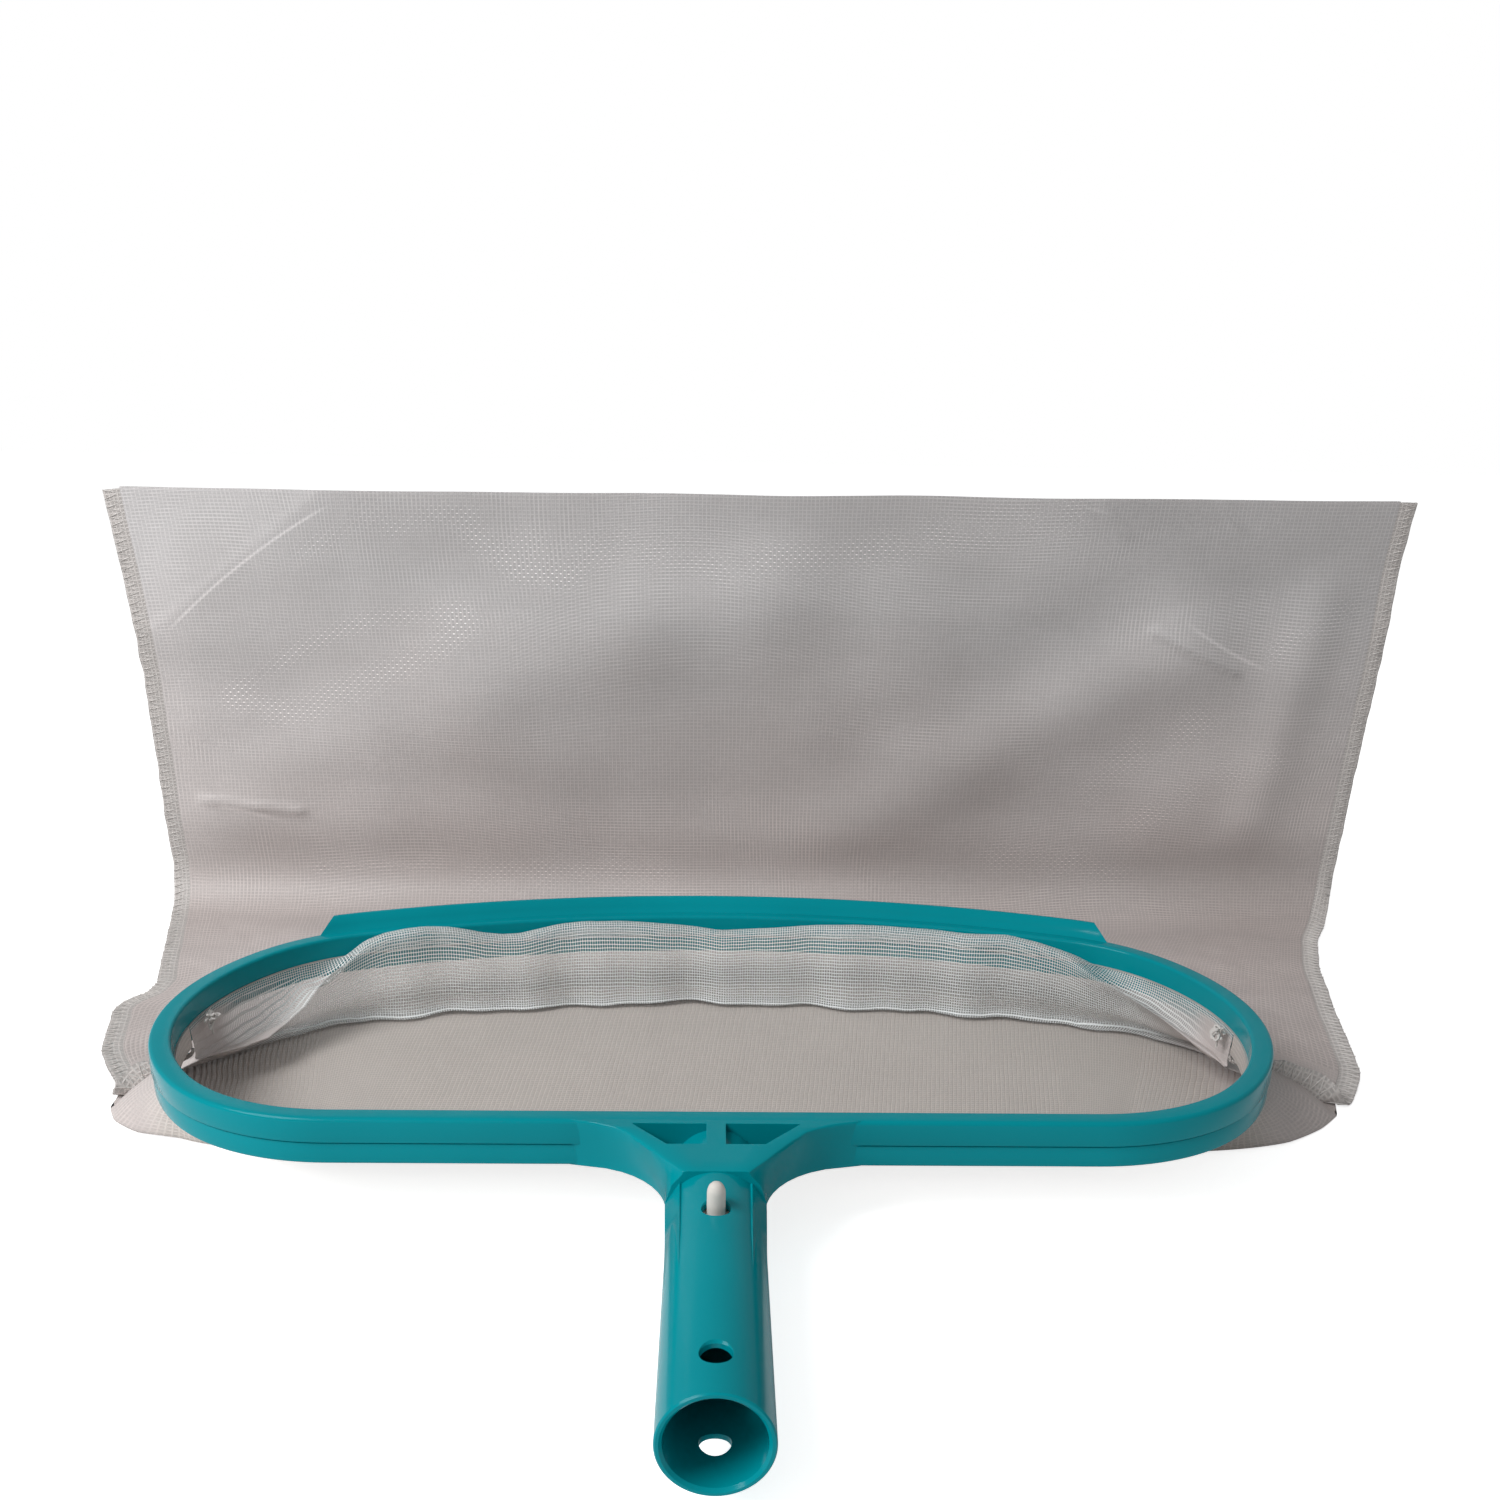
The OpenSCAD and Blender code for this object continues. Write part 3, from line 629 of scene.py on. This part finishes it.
def pocket_cutter(side):
    """The room of one pocket, open at the top."""
    bm = bmesh.new()
    ring = [bm.verts.new((side * x, y, 1.7)) for x, y in
            ((3.0, 133.9), (26.3, 133.9), (15.0, 120.3), (3.0, 120.3))]
    top = bmesh.ops.extrude_face_region(bm, geom=[bm.faces.new(ring)])["geom"]
    bmesh.ops.translate(bm, vec=(0, 0, 20),
                        verts=[v for v in top if isinstance(v, bmesh.types.BMVert)])
    faces_out(bm)
    return as_object("cutter", bm)


saddle = piece("yoke_moulding", yoke(), TEAL, replaces=["yoke"], smooth=30)
for side in (-1, 1):
    subtract(saddle, pocket_cutter(side))
for obj, sharp, width, angle in ((tube, 28, 0.0003, 34), (saddle, 30, 0.0004, 38)):
    obj.data.set_sharp_from_angle(angle=radians(sharp))
    bevel = obj.modifiers.new("edges", "BEVEL")
    bevel.width = width
    bevel.segments = 2
    bevel.limit_method = "ANGLE"
    bevel.angle_limit = radians(angle)


def flank(side):
    """A low ridge where the saddle's side runs out along the tube."""
    rows = []
    for y, rise in ((105, 0.75), (100, 0.72), (90, 0.6), (78, 0.4), (64, 0.15), (50, -0.2)):
        r = tube_r(y) + rise
        ring = [(13.8, 3.2), *((r * cos(radians(a)), r * sin(radians(a))) for a in (16, 47)),
                (9.4, 10.4)]
        rows.append([(side * x, y, z) for x, z in ring])
    return loft(rows)


flanks = flank(-1)
join(flanks, flank(1))
piece("yoke_flanks", flanks, TEAL, smooth=60)

# --------------------------------------------------------- spring clip
PIN_R, PIN_TOP, PIN_Y = 2.65, 21.9, 85.1


def lock_pin(side):
    """A domed pin, turned round its own axis, with a slight edge at its shoulder."""
    points = [(0, 11.2), (PIN_R, 11.2), (PIN_R, 18.6), (PIN_R - 0.12, 19.6), (PIN_R - 0.55, 20.7),
              (PIN_R - 1.3, 21.55), (PIN_R - 2.0, 21.85), (0, PIN_TOP)]
    return turned([(r, PIN_Y, side * z) for r, z in points], (0, 0, 1), PIN_Y, 40)


for side, end in ((1, "upper"), (-1, "lower")):
    piece("lock_pin_" + end, lock_pin(side), WHITE, body=end + "_lock",
          replaces=["clip_pin_" + end], smooth=50)
for name in ("clip_bow", "clip_leg_upper", "clip_leg_lower"):
    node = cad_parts[name]
    node.data.materials.clear()
    node.data.materials.append(WHITE)

# ------------------------------------------------------ the net's shape
LAY = 1.3  # how high the over panel lies on the under panel
FLOOR_Z = GROUND + 0.5
BAG_SHIFT, BAG_HALF = 22.0, 289.0
# the standing back: its place, its height, how far its top leans and the bend at its foot
BACK_Y, RISE, LEAN, BEND = 449.8, 207.0, 29.0, 24.0
# lengths along the hoop's inner face from the middle of the near or far side to an end
LENGTHS = [(arc[1] - HOOP_T) * radians(arc[3] - arc[2]) for arc in ARCS]
NEAR_1 = ARCS[0][0][0]
NEAR_2 = NEAR_1 + LENGTHS[0]
NEAR_3 = NEAR_2 + (ARCS[1][1] - HOOP_T) * radians(38)
FAR_1 = LENGTHS[3]
FAR_2 = FAR_1 + LENGTHS[2]
FAR_3 = FAR_2 + (ARCS[1][1] - HOOP_T) * radians(35)


def on_arc(side, number, turn, inset):
    (cx, cy), r, _, _ = ARCS[number]
    r -= HOOP_T + inset
    return Vector((side * (cx + r * cos(radians(turn))), cy + r * sin(radians(turn)), 0))


def near_rim(u, inset):
    """A point inside the hoop's inner face, from the near side's middle (0) to an end (1)."""
    s, side = abs(u) * NEAR_3, 1 if u >= 0 else -1
    if s < NEAR_1:
        return Vector((side * s, NEAR_Y + HOOP_T + inset, 0))
    if s < NEAR_2:
        return on_arc(side, 0, -90 + degrees((s - NEAR_1) / (ARCS[0][1] - HOOP_T)), inset)
    return on_arc(side, 1, -38 + degrees((s - NEAR_2) / (ARCS[1][1] - HOOP_T)), inset)


def far_rim(u, inset):
    """The same from the far side's middle to an end."""
    s, side = abs(u) * FAR_3, 1 if u >= 0 else -1
    if s < FAR_1:
        return on_arc(side, 3, 90 - degrees(s / (ARCS[3][1] - HOOP_T)), inset)
    if s < FAR_2:
        return on_arc(side, 2, 69.6 - degrees((s - FAR_1) / (ARCS[2][1] - HOOP_T)), inset)
    return on_arc(side, 1, 35 - degrees((s - FAR_2) / (ARCS[1][1] - HOOP_T)), inset)


def at(p, z):
    return Vector((p.x, p.y, z))


def back_row(u, z, d):
    """A point of the standing back at a height, where d parts the over panel from the under."""
    lean = LEAN * max(0, (z - GROUND) / RISE) ** 1.6
    return Vector((BAG_SHIFT + u * BAG_HALF, BACK_Y - d - lean, z))


def climb(u, d):
    """The bend from the ground up into the standing back."""
    out = []
    for i in range(1, 5):
        a = radians(90 * i / 4)
        p = Vector((BAG_SHIFT + u * BAG_HALF, BACK_Y - d - BEND * (1 - sin(a)),
                    FLOOR_Z + d + (BEND - d) * (1 - cos(a))))
        out.append(stray(p, u))
    return out


def wall(u, d):
    """The standing back from its bend to the top."""
    return [back_row(u, mix(FLOOR_Z + BEND, GROUND + RISE, i / 9), d) for i in range(1, 10)]


def bulge(u):
    """The inset of the bag's front edge at the hoop's end, below 0 because it lies outside."""
    return -38 if u > 0 else -22


# how far the lying net's left and right edges stray from straight, by distance back
STRAY_LEFT = [(227, 0), (236, -1.2), (250, 5), (268, 9.6), (290, 10), (312, 9.2), (322, 2.5),
              (332, -5.5), (380, -5.1), (412, -4.8), (426, -4), (440, -1.5), (449, 0)]
STRAY_RIGHT = [(227, 0), (238, 3.5), (251, 6), (275, 2.5), (290, 0), (315, -4.5), (345, -9),
               (372, -13), (412, -14.5), (426, -12), (440, -5), (449, 0)]
LIE_N = 14  # steps from the front edge back to the bend


def stray(p, u):
    """Moves a point sideways by what the bag's edge strays, less and less inwards."""
    rows = STRAY_RIGHT if u > 0 else STRAY_LEFT
    side = 1 if u > 0 else -1
    return Vector((p.x + side * table(rows, p.y) * abs(u) ** 6, p.y, p.z))


def lying(p, u, d):
    """From the bag's front edge on the ground back to the bend."""
    q = Vector((BAG_SHIFT + u * BAG_HALF, BACK_Y - d - BEND, 0))
    return [stray(at(p.lerp(q, i / LIE_N), FLOOR_Z + d), u) for i in range(1, LIE_N)]


# how far inside the hoop's inner face the under panel meets the ground, towards the ends
FOOT_LEFT = [(0.0, 34), (0.70, 34), (0.76, 23), (0.818, 8.8), (0.859, -1.0), (0.894, -15.5),
             (0.93, -24.3), (0.965, -28.0), (1.0, -22.0)]
FOOT_RIGHT = [(0.0, 34), (0.70, 34), (0.78, 20), (0.847, -3.7), (0.884, -17.4), (0.93, -30),
              (0.965, -38), (1.0, -38)]


def under_column(u):
    """The under panel's points from the joint down to the ground and back up, at one u."""
    w = abs(u) ** 4
    foot = table(FOOT_RIGHT if u > 0 else FOOT_LEFT, abs(u))
    drop = Z_BOT - FLOOR_Z
    g = near_rim(u, foot)
    out = [at(near_rim(u, 0.5), Z_JOINT + 0.1), at(near_rim(u, 0.8), Z_BOT + 2),
           at(near_rim(u, 0.8), Z_BOT - 1.1)]
    for part, inner, outer in ((0.13, 0.28, 0.13), (0.40, 0.5, 0.3), (0.72, 0.76, 0.62)):
        out.append(at(near_rim(u, mix(0.8, foot, part)), Z_BOT - drop * mix(inner, outer, w)))
    return out + [at(g, FLOOR_Z)] + lying(g, u, 0) + climb(u, 0) + wall(u, 0)


# the fold inside the hoop, along the far side: its height, and its distance from the wall
CREST = [(-1.0, -6.5), (-0.95, -7.0), (-0.88, -7.6), (-0.817, -6.4), (-0.763, -3.0), (-0.715, 3.0),
         (-0.673, 7.4), (-0.641, 11.0), (-0.603, 15.2), (-0.575, 17.4), (-0.54, 18.5),
         (-0.51, 18.5), (-0.465, 17.2), (-0.431, 15.4), (-0.409, 13.8), (-0.375, 12.4),
         (-0.347, 12.4), (-0.319, 13.7), (-0.283, 15.2), (-0.231, 16.3), (-0.173, 16.2),
         (-0.115, 15.2), (-0.057, 13.6), (0.007, 11.6), (0.087, 12.8), (0.165, 14.6),
         (0.245, 16.3), (0.363, 16.2), (0.433, 16.0), (0.509, 17.0), (0.563, 15.4),
         (0.637, 11.5), (0.70, 6.5), (0.78, 2.0), (0.85, -1.0), (0.92, -4.0), (1.0, -6.5)]
REACH = [(-1.0, 2.5), (-0.97, 8.0), (-0.93, 15.0), (-0.88, 19.0), (-0.817, 18.0), (-0.763, 16.0),
         (-0.70, 14.5), (-0.62, 12.5), (-0.56, 11.4), (0.56, 11.4), (0.70, 13.0), (0.82, 12.0),
         (0.92, 8.0), (1.0, 2.5)]
OVER_FOOT, UNDER_FOOT = 8, 6  # the points of a column where its panel meets the ground


def over_column(u):
    """The over panel's points from the joint over the raised fold and back up, at one u."""
    hug = ease(-0.61, -0.70, u) if u < 0 else ease(0.62, 0.80, u)
    w = abs(u) ** 4
    b = bulge(u)
    high, reach = table(CREST, u), table(REACH, u)
    wave = 1.2 * sin(u * 31) + 0.8 * sin(u * 57 + 1)
    reach += 0.6 * wave * (1 - w)
    lie = FLOOR_Z + LAY
    gutter = min(high, 2.0) - 4.0 * ease(1.0, 0.94, abs(u))
    foot = mix(reach + 2.6 + 0.6 * wave, b, w)
    f = far_rim(u, foot)
    return ([at(far_rim(u, 0.5), Z_JOINT + 0.1),
             at(far_rim(u, mix(3.2, 0.8, hug)), mix(mix(Z_JOINT, high, 0.72), 3.4, hug)),
             at(far_rim(u, mix(reach * 0.55, 1.5, hug)), mix(high, min(gutter + 2.5, 0.5), hug)),
             at(far_rim(u, mix(reach * 0.80, reach * 0.45, hug)), mix(high + 0.1, gutter, hug)),
             at(far_rim(u, reach), high - 1.2 * (1 - hug)),
             at(far_rim(u, mix(reach + 1.6, b * 0.2, w)), mix(high, lie, 0.30)),
             at(far_rim(u, mix(reach + 1.6, b * 0.55, w)), mix(high, lie, 0.66)),
             at(far_rim(u, mix(mix(reach, foot, 0.6), b * 0.88, w)), lie + mix(1.0, 2.4, w)),
             at(f, lie)]
            + lying(f, u, LAY) + climb(u, LAY) + wall(u, LAY))


# ------------------------------------------ folds and creases of the net
E = 2.718  # every soft fold and band falls off by it


def ridge(p, a, b, width, height, sharp=False):
    """A fold along the line from a to b in the plane of p, which dies out at its ends."""
    ax, ay = a
    bx, by = b
    dx, dy = bx - ax, by - ay
    length = hypot(dx, dy)
    along = ((p[0] - ax) * dx + (p[1] - ay) * dy) / length
    aside = ((p[0] - ax) * dy - (p[1] - ay) * dx) / length
    ends = ease(-width, width, along) * (1 - ease(length - width, length + width, along))
    shape = max(0.0, 1 - abs(aside) / width) ** 1.5 if sharp else E ** (-(aside / width) ** 2)
    return height * shape * ends


def back_relief(x, z):
    """How far the standing back stands forward, over the plain curved sheet."""
    p = (x, z)
    out = 5.0 * noise.noise(Vector((x / 120, z / 90, 0.3)))
    out += 1.6 * noise.noise(Vector((x / 42, z / 36, 4.7)))
    out += ridge(p, (240, 128), (42, 2), 22, 3.6)
    out += ridge(p, (60, 150), (-190, 60), 30, 3.0)
    out += ridge(p, (205, 126), (250, 106), 3.2, 2.0, True)
    out += ridge(p, (-256, 36), (-205, 31), 3.4, 2.2, True)
    out += ridge(p, (172, 184), (188, 168), 3.5, 1.8, True)
    out += ridge(p, (228, 184), (240, 172), 3.5, 1.6, True)
    out += ridge(p, (285, 150), (268, 20), 14, 3.5)
    return out * ease(14, 60, z - GROUND) * (1 - 0.6 * ease(140, 186, z))


def corner_flap(x, z):
    """Distance past the crease that cuts off the left top corner."""
    nx, nz = -0.597, 0.802
    return max(0.0, (x + 262) * nx + (z - 124) * nz)


def ground_relief(x, y, under):
    """How far the lying net rises in folds, less under the other panel."""
    out = 1.5 * abs(noise.noise(Vector((x / 46, y / 30, 8.1))))
    out += 0.9 * abs(noise.noise(Vector((x / 17, y / 15, 2.2))))
    return out * (0.35 if under else 1.0)


# painted light and shade on the back's folds, as soft bands on lines of (x, z): half width and how
# much lighter or darker
PAINTED_SHADING = [([(-228, 116), (-209, 131)], 26, -0.055),
         ([(-37, 119), (-94, 106), (-157, 42)], 22, -0.035),
         ([(212, 130), (137, 92), (79, 56), (24, 20)], 17, 0.085),
         ([(179, 136), (116, 107), (67, 75)], 16, -0.03),
         ([(195, 97), (154, 67), (114, 34), (93, -6)], 17, -0.03),
         ([(183, 181), (223, 161), (273, 148)], 16, -0.05), ([(-256, 160), (-262, 35)], 12, 0.05),
         ([(-240, 20), (-205, 8)], 14, -0.05)]
# rows of painted glints on lit crossings of the back: half width and strength
GLINTS = [([(-234, 89), (-216, 101), (-198, 112), (-176, 123), (-155, 128), (-122, 132)],
           4.0, 0.8),
          ([(-233, 87), (-220, 82), (-207, 82), (-197, 84), (-184, 90), (-168, 97), (-151, 104),
            (-141, 111), (-126, 119), (-119, 126)], 6.5, 1.0),
          ([(-190, 158), (-155, 176), (-149, 168), (-128, 177), (-114, 176)], 4.5, 0.5),
          ([(-114, 170), (-107, 162), (-91, 151), (-69, 149)], 6.0, 0.9),
          ([(-90, 161), (-46, 162), (0, 157), (51, 158), (102, 170), (157, 179)], 9.0, 0.65),
          ([(-200, 0), (-181, 2), (-141, 4)], 4.0, 0.4),
          ([(-121, -2), (-79, 1), (-28, 0)], 8.0, 0.45),
          ([(191, 48), (210, 72), (242, 84)], 12.0, 0.5),
          ([(205, 25), (242, 47), (270, 63)], 10.0, 0.4),
          ([(264, 116), (296, 140)], 6.0, 0.35), ([(143, 10), (208, 3)], 8.0, 0.4)]


def stroke(p, rows):
    """The strokes' strengths at a point of the back, added up."""
    total = 0.0
    for line, width, strength in rows:
        nearest = 9e9
        for (ax, ay), (bx, by) in zip(line, line[1:]):
            dx, dy = bx - ax, by - ay
            t = clamp(((p[0] - ax) * dx + (p[1] - ay) * dy) / (dx * dx + dy * dy))
            nearest = min(nearest, (p[0] - ax - t * dx) ** 2 + (p[1] - ay - t * dy) ** 2)
        if nearest < 9 * width * width:
            total += strength * E ** (-nearest / (width * width))
    return total


def marks(p, across, flat, under):
    """The MARKS of a point of a panel, by its place, how far across the panel it lies from
    -1 to 1, and its distance along the flat cloth."""
    if under:
        close = max(ease(322, 342, p.y), ease(188, 206, abs(p.x)))
    else:
        ends = 0.45 * ease(2, 6, flat) + 0.5 * ease(9, 14, flat)
        ends = mix(ends, 0.97, ease(0.80, 0.88, abs(across)) * ease(1, 4, flat))
        close = max(ease(42, 58, flat), ends * ease(0.64, 0.80, abs(across)))
    # painted light and shade: the cloth lighter on the left and darker on the right, where the
    # light falls from the left
    slope = 0.04 * across
    # painted shade on the bend at the foot of the standing back
    bend = 0.10 * ease(385, 425, p.y) * (1 - ease(-4, 34, p.z)) + slope
    if p.y < 405 or p.z < GROUND + 4:
        fold = 0.0
        if not under:
            # painted light on the front of the raised fold, more on the left
            fold = 0.15 * ease(10, 20, flat) * (1 - ease(40, 50, flat)) * (1 - across)
        elif p.y < 360:
            # painted light that lifts the hoop wall's shadow from the under panel at the left
            fold = 0.13 * ease(0.30, 0.85, -across) * ease(-206, -196, p.x)
        return close, 0.0, fold - bend + 0.04 * noise.noise(Vector((p.x / 60, p.y / 40, 6.6)))
    # painted glints along the rows of GLINTS, broken up by noise
    glint = 0.0 if under else stroke((p.x, p.z), GLINTS)
    glint *= 0.75 + 0.9 * noise.noise(Vector((p.x / 16, p.z / 12, 2.9)))
    # painted light and shade in soft bands on the back's folds, with some random tone
    painted_light_and_tone = stroke((p.x, p.z), PAINTED_SHADING) + 0.04 * noise.noise(Vector((p.x / 70, p.z / 50, 1.4)))
    # painted shade on the corner flap past its crease
    flap = 0.10 * ease(0, 6, corner_flap(p.x, p.z))
    return close, clamp(glint), painted_light_and_tone - bend - flap - slope


def above_ground(p):
    """Keeps a point from sinking into what the net lies on."""
    return at(p, max(p.z, GROUND + 0.25))


def net_points(column, under, u, stops):
    """The smooth rows of one column of a panel, moved into folds."""
    out = []
    for p in curve_through(column(u), stops):
        if p.z > GROUND + 14 and p.y > 400:
            past = corner_flap(p.x, p.z)
            high = ease(60, 186, p.z)
            p = Vector((p.x - 0.13 * past, p.y - back_relief(p.x, p.z) + 0.25 * past, p.z))
            p.z += high * (0.6 * noise.noise(Vector((p.x / 60, 0, 9))) + 1.6 + p.x / 180)
        elif p.z < GROUND + 8:
            p.z += ground_relief(p.x, p.y, under) * (1 - ease(405, 425, p.y))
        out.append(above_ground(p))
    return out


COLS, ROWS = 220, 170
EDGE = 0.999  # where the panels end, inside their seams
CLOSED_FROM = 60  # distance along the flat cloth at which the raised fold is over


def spread(t):
    """Sets the columns closer together towards both edges of the cloth."""
    return t * (1.2 - 0.2 * t * t)


def net_panel(name, column, under, materials, replaces):
    """A sheet of mesh from the hoop's joint to the bag's top. Its UV map is the flat cloth
    in metres."""
    middle = column(0.0)
    lengths, weights = [0.0], [0.0]
    for a, b in zip(middle, middle[1:]):
        length = (b - a).length
        lengths.append(lengths[-1] + length)
        weights.append(weights[-1] + max(length, 5.0))
    stops, flat_at = [], []
    for j in range(ROWS + 1):
        target = weights[-1] * j / ROWS
        i = max(k for k in range(len(middle) - 1) if weights[k] <= target + 1e-9)
        t = min((target - weights[i]) / (weights[i + 1] - weights[i]), 1.0)
        stops.append(i + t)
        flat_at.append(mix(lengths[i], lengths[i + 1], t))
    across = [2 * i / COLS - 1 for i in range(COLS + 1)]
    columns = [net_points(column, under, EDGE * spread(t), stops) for t in across]
    bm = bmesh.new()
    bmesh.ops.create_grid(bm, x_segments=COLS, y_segments=ROWS, size=0.5)
    uv = bm.loops.layers.uv.new("cloth")
    layers = [bm.verts.layers.float.new(label) for label in MARKS]
    place = {}
    for v in bm.verts:
        i, j = round((v.co.x + 0.5) * COLS), round((v.co.y + 0.5) * ROWS)
        place[v] = (i, j)
        v.co = columns[i][j]
        for layer, value in zip(layers, marks(v.co, across[i], flat_at[j], under)):
            v[layer] = value
    for f in bm.faces:
        for loop in f.loops:
            i, j = place[loop.vert]
            loop[uv].uv = (BAG_HALF * 0.001 * spread(across[i]), flat_at[j] * 0.001)
        f.material_index = 1 if len(materials) > 1 and flat_at[j] > CLOSED_FROM else 0
    if under:
        bmesh.ops.reverse_faces(bm, faces=bm.faces[:])
    obj = piece(name, bm, materials[0], replaces=replaces, smooth=180,
                more=materials[1:])


net_panel("net_under_sheet", under_column, True, [CLOSE_NET], ["net_under_panel"])
net_panel("net_over_sheet", over_column, False, [OPEN_NET, BACK_NET], ["net_over_panel"])

# the pinched hem shows as a thin line in the joint, with a raw edge inside
hem = whole_ring(section([(-0.7, Z_JOINT + 0.02), (5.0, Z_JOINT + 0.02), (5.0, Z_JOINT + 0.38),
                          (-0.7, Z_JOINT + 0.38)], []))
piece("net_hem_edge", hem, BAND, replaces=["net_hem"])


# --------------------------------------------------------- sewn threads
def tubes(paths, radius):
    """Round threads along rows of points, as one bmesh."""
    data = bpy.data.curves.new("thread", "CURVE")
    data.dimensions = "3D"
    data.bevel_depth = radius
    data.bevel_resolution = 1
    data.use_fill_caps = True
    for path in paths:
        spline = data.splines.new("POLY")
        spline.points.add(len(path) - 1)
        for point, p in zip(spline.points, path):
            point.co = (*p, 1)
    obj = bpy.data.objects.new("thread", data)
    mesh = bpy.data.meshes.new_from_object(obj)
    bm = bmesh.new()
    bm.from_mesh(mesh)
    bpy.data.objects.remove(obj)
    bpy.data.curves.remove(data)
    bpy.data.meshes.remove(mesh)
    return bm


SEAM_W = 8.0
FINE = 5  # stops of the seam between two points of a column


def seam(side, name):
    """An overlocked edge: a folded band with thread in zigzags over both its faces. It starts
    at the columns' point 2, under the joint."""
    stops = [i / FINE for i in range(2 * FINE, (len(over_column(side)) - 1) * FINE + 1)]
    outer = net_points(over_column, False, side * EDGE, stops)
    inner = net_points(under_column, True, side * EDGE, [
        s - OVER_FOOT + UNDER_FOOT if s > OVER_FOOT else s * UNDER_FOOT / OVER_FOOT for s in stops])
    edge = [a.lerp(b, 0.5) for a, b in zip(outer, inner)]
    # even steps of 1 mm along the edge
    path, left = [edge[0]], 0.0
    for a, b in zip(edge, edge[1:]):
        length = (b - a).length
        d = 1.0 - left
        while d < length:
            path.append(a.lerp(b, d / length))
            d += 1.0
        left = length - (d - 1.0)
    count = len(path)
    band, rows = bmesh.new(), []
    uv = band.loops.layers.uv.new("cloth")
    flat = {}
    front, behind = [], []
    for k, p in enumerate(path):
        ahead = (path[min(k + 2, count - 1)] - path[max(k - 2, 0)]).normalized()
        out = Vector((side, 0, 0))
        out = (out - ahead * out.dot(ahead)).normalized()
        face = out.cross(ahead) * -side
        grow = ease(0, 26, k)
        width = mix(1.0, SEAM_W, grow) + 0.5 * noise.noise(Vector((k / 9, side, 0)))
        curl = 0.7 * noise.noise(Vector((k / 14, 3, side)))
        ring = []
        for t, lift in ((-0.12, 0.5), (0.45, 0.75), (1.0, 0.3 + curl), (1.0, -0.3 + curl),
                        (0.45, -0.75), (-0.12, -0.5)):
            v = band.verts.new(above_ground(p + out * (width * t) + face * lift))
            flat[v] = (width * t * 0.001 + (0.02 if lift < 0 else 0), k * 0.001)
            ring.append(v)
        rows.append(ring)
        zig = (0.05, 0.5, 0.98, 0.5)[k % 4] + 0.08 * noise.noise(Vector((k * 0.7, side, 5)))
        high = (0.6, 0.85, 0.35, 0.85)[k % 4]
        front.append(above_ground(p + out * (width * zig) + face * high))
        behind.append(above_ground(p + out * (width * (1.03 - zig)) - face * high))
    for a, b in zip(rows, rows[1:]):
        for i in range(6):
            j = (i + 1) % 6
            band.faces.new((a[i], a[j], b[j], b[i]))
    band.faces.new(rows[0])
    band.faces.new(rows[-1][::-1])
    bmesh.ops.recalc_face_normals(band, faces=band.faces[:])
    for f in band.faces:
        for loop in f.loops:
            loop[uv].uv = flat[loop.vert]
    join(band, tubes([front, behind], 0.24), 1)
    piece("overlock_" + name, band, BAND, more=(THREAD,),
          replaces=["side_seam_" + name], smooth=40)


seam(-1, "left")
seam(1, "right")


def knots():
    """The seams' thread ends, knotted inside both ends of the hoop."""
    noise.seed_set(5)  # fixes what noise_vector gives
    paths = []
    for side, u in ((-1, -0.955), (1, 0.98)):
        c = at(far_rim(u, 4.6), 5.2)
        tangle = []
        for k in range(170):
            t = k / 169
            n = noise.noise_vector(Vector((t * 12, side * 3.1, 1.7)))
            tangle.append((n.x * 4.0, n.y * 7.0, n.z * 5.0 + 0.6 * sin(t * 25)))
        ends = ([(side * 0.6, 1.2 + 0.3 * k, 1.2 + 0.8 * sin(k * 0.5)) for k in range(12)],
                [(side * 0.4, -1.0 - 0.25 * k, 1.0 + 0.28 * k) for k in range(9)],
                [(-side * 0.2, -0.8 + 0.2 * sin(k), -0.6 * k) for k in range(10)])
        paths += [[c + Vector(p) for p in path] for path in (tangle, *ends)]
    return tubes(paths, 0.45)


piece("seam_thread_knots", knots(), THREAD, replaces=["seam_knots"])

# ------------------------------------------------- floor, light and sky
bm = bmesh.new()
bmesh.ops.create_grid(bm, x_segments=1, y_segments=1, size=6000)
bmesh.ops.translate(bm, vec=(0, 0, GROUND - 0.3), verts=bm.verts)
ground = as_object("floor", bm)
pale_floor, tree, shader = new_material("pale floor")
ray = add(tree, "ShaderNodeLightPath").outputs["Is Camera Ray"]
feed(tree, shader, {
    "Base Color": (0.93, 0.93, 0.93, 1),
    "Roughness": 0.9,
    "Specular IOR Level": 0.1,
    "Emission Color": (1, 1, 1, 1),
    "Emission Strength": math_node(tree, "MULTIPLY", ray, 0.76)})
ground.data.materials.append(pale_floor)

# white to the camera, and a dimmer light on the object
world = bpy.data.worlds.new("studio")
world.use_nodes = True
tree = world.node_tree
ray = add(tree, "ShaderNodeLightPath").outputs["Is Camera Ray"]
level = add(tree, "ShaderNodeMix", {"Factor": ray, "A": 0.285, "B": 1.0}, data_type="FLOAT")
feed(tree, tree.nodes["Background"], {"Color": (1, 1, 1, 1), "Strength": level.outputs["Result"]})
bpy.context.scene.world = world


def soft_lamp(name, place, aim, size, power):
    """A rectangular lamp that shines from place to aim."""
    data = bpy.data.lights.new(name, "AREA")
    data.shape = "RECTANGLE"
    data.size, data.size_y = size
    data.energy = power
    obj = bpy.data.objects.new(name, data)
    obj.location = place
    obj.rotation_mode = "QUATERNION"
    obj.rotation_quaternion = (Vector(aim) - Vector(place)).to_track_quat("-Z", "Y")
    bpy.context.scene.collection.objects.link(obj)


soft_lamp("key", (-1.0, -0.35, 1.15), (0, 0.28, 0.02), (0.85, 0.85), 21.5)
soft_lamp("strip", (-0.7, -1.2, 1.0), (-0.1, 0.2, 0.0), (1.2, 0.08), 3)
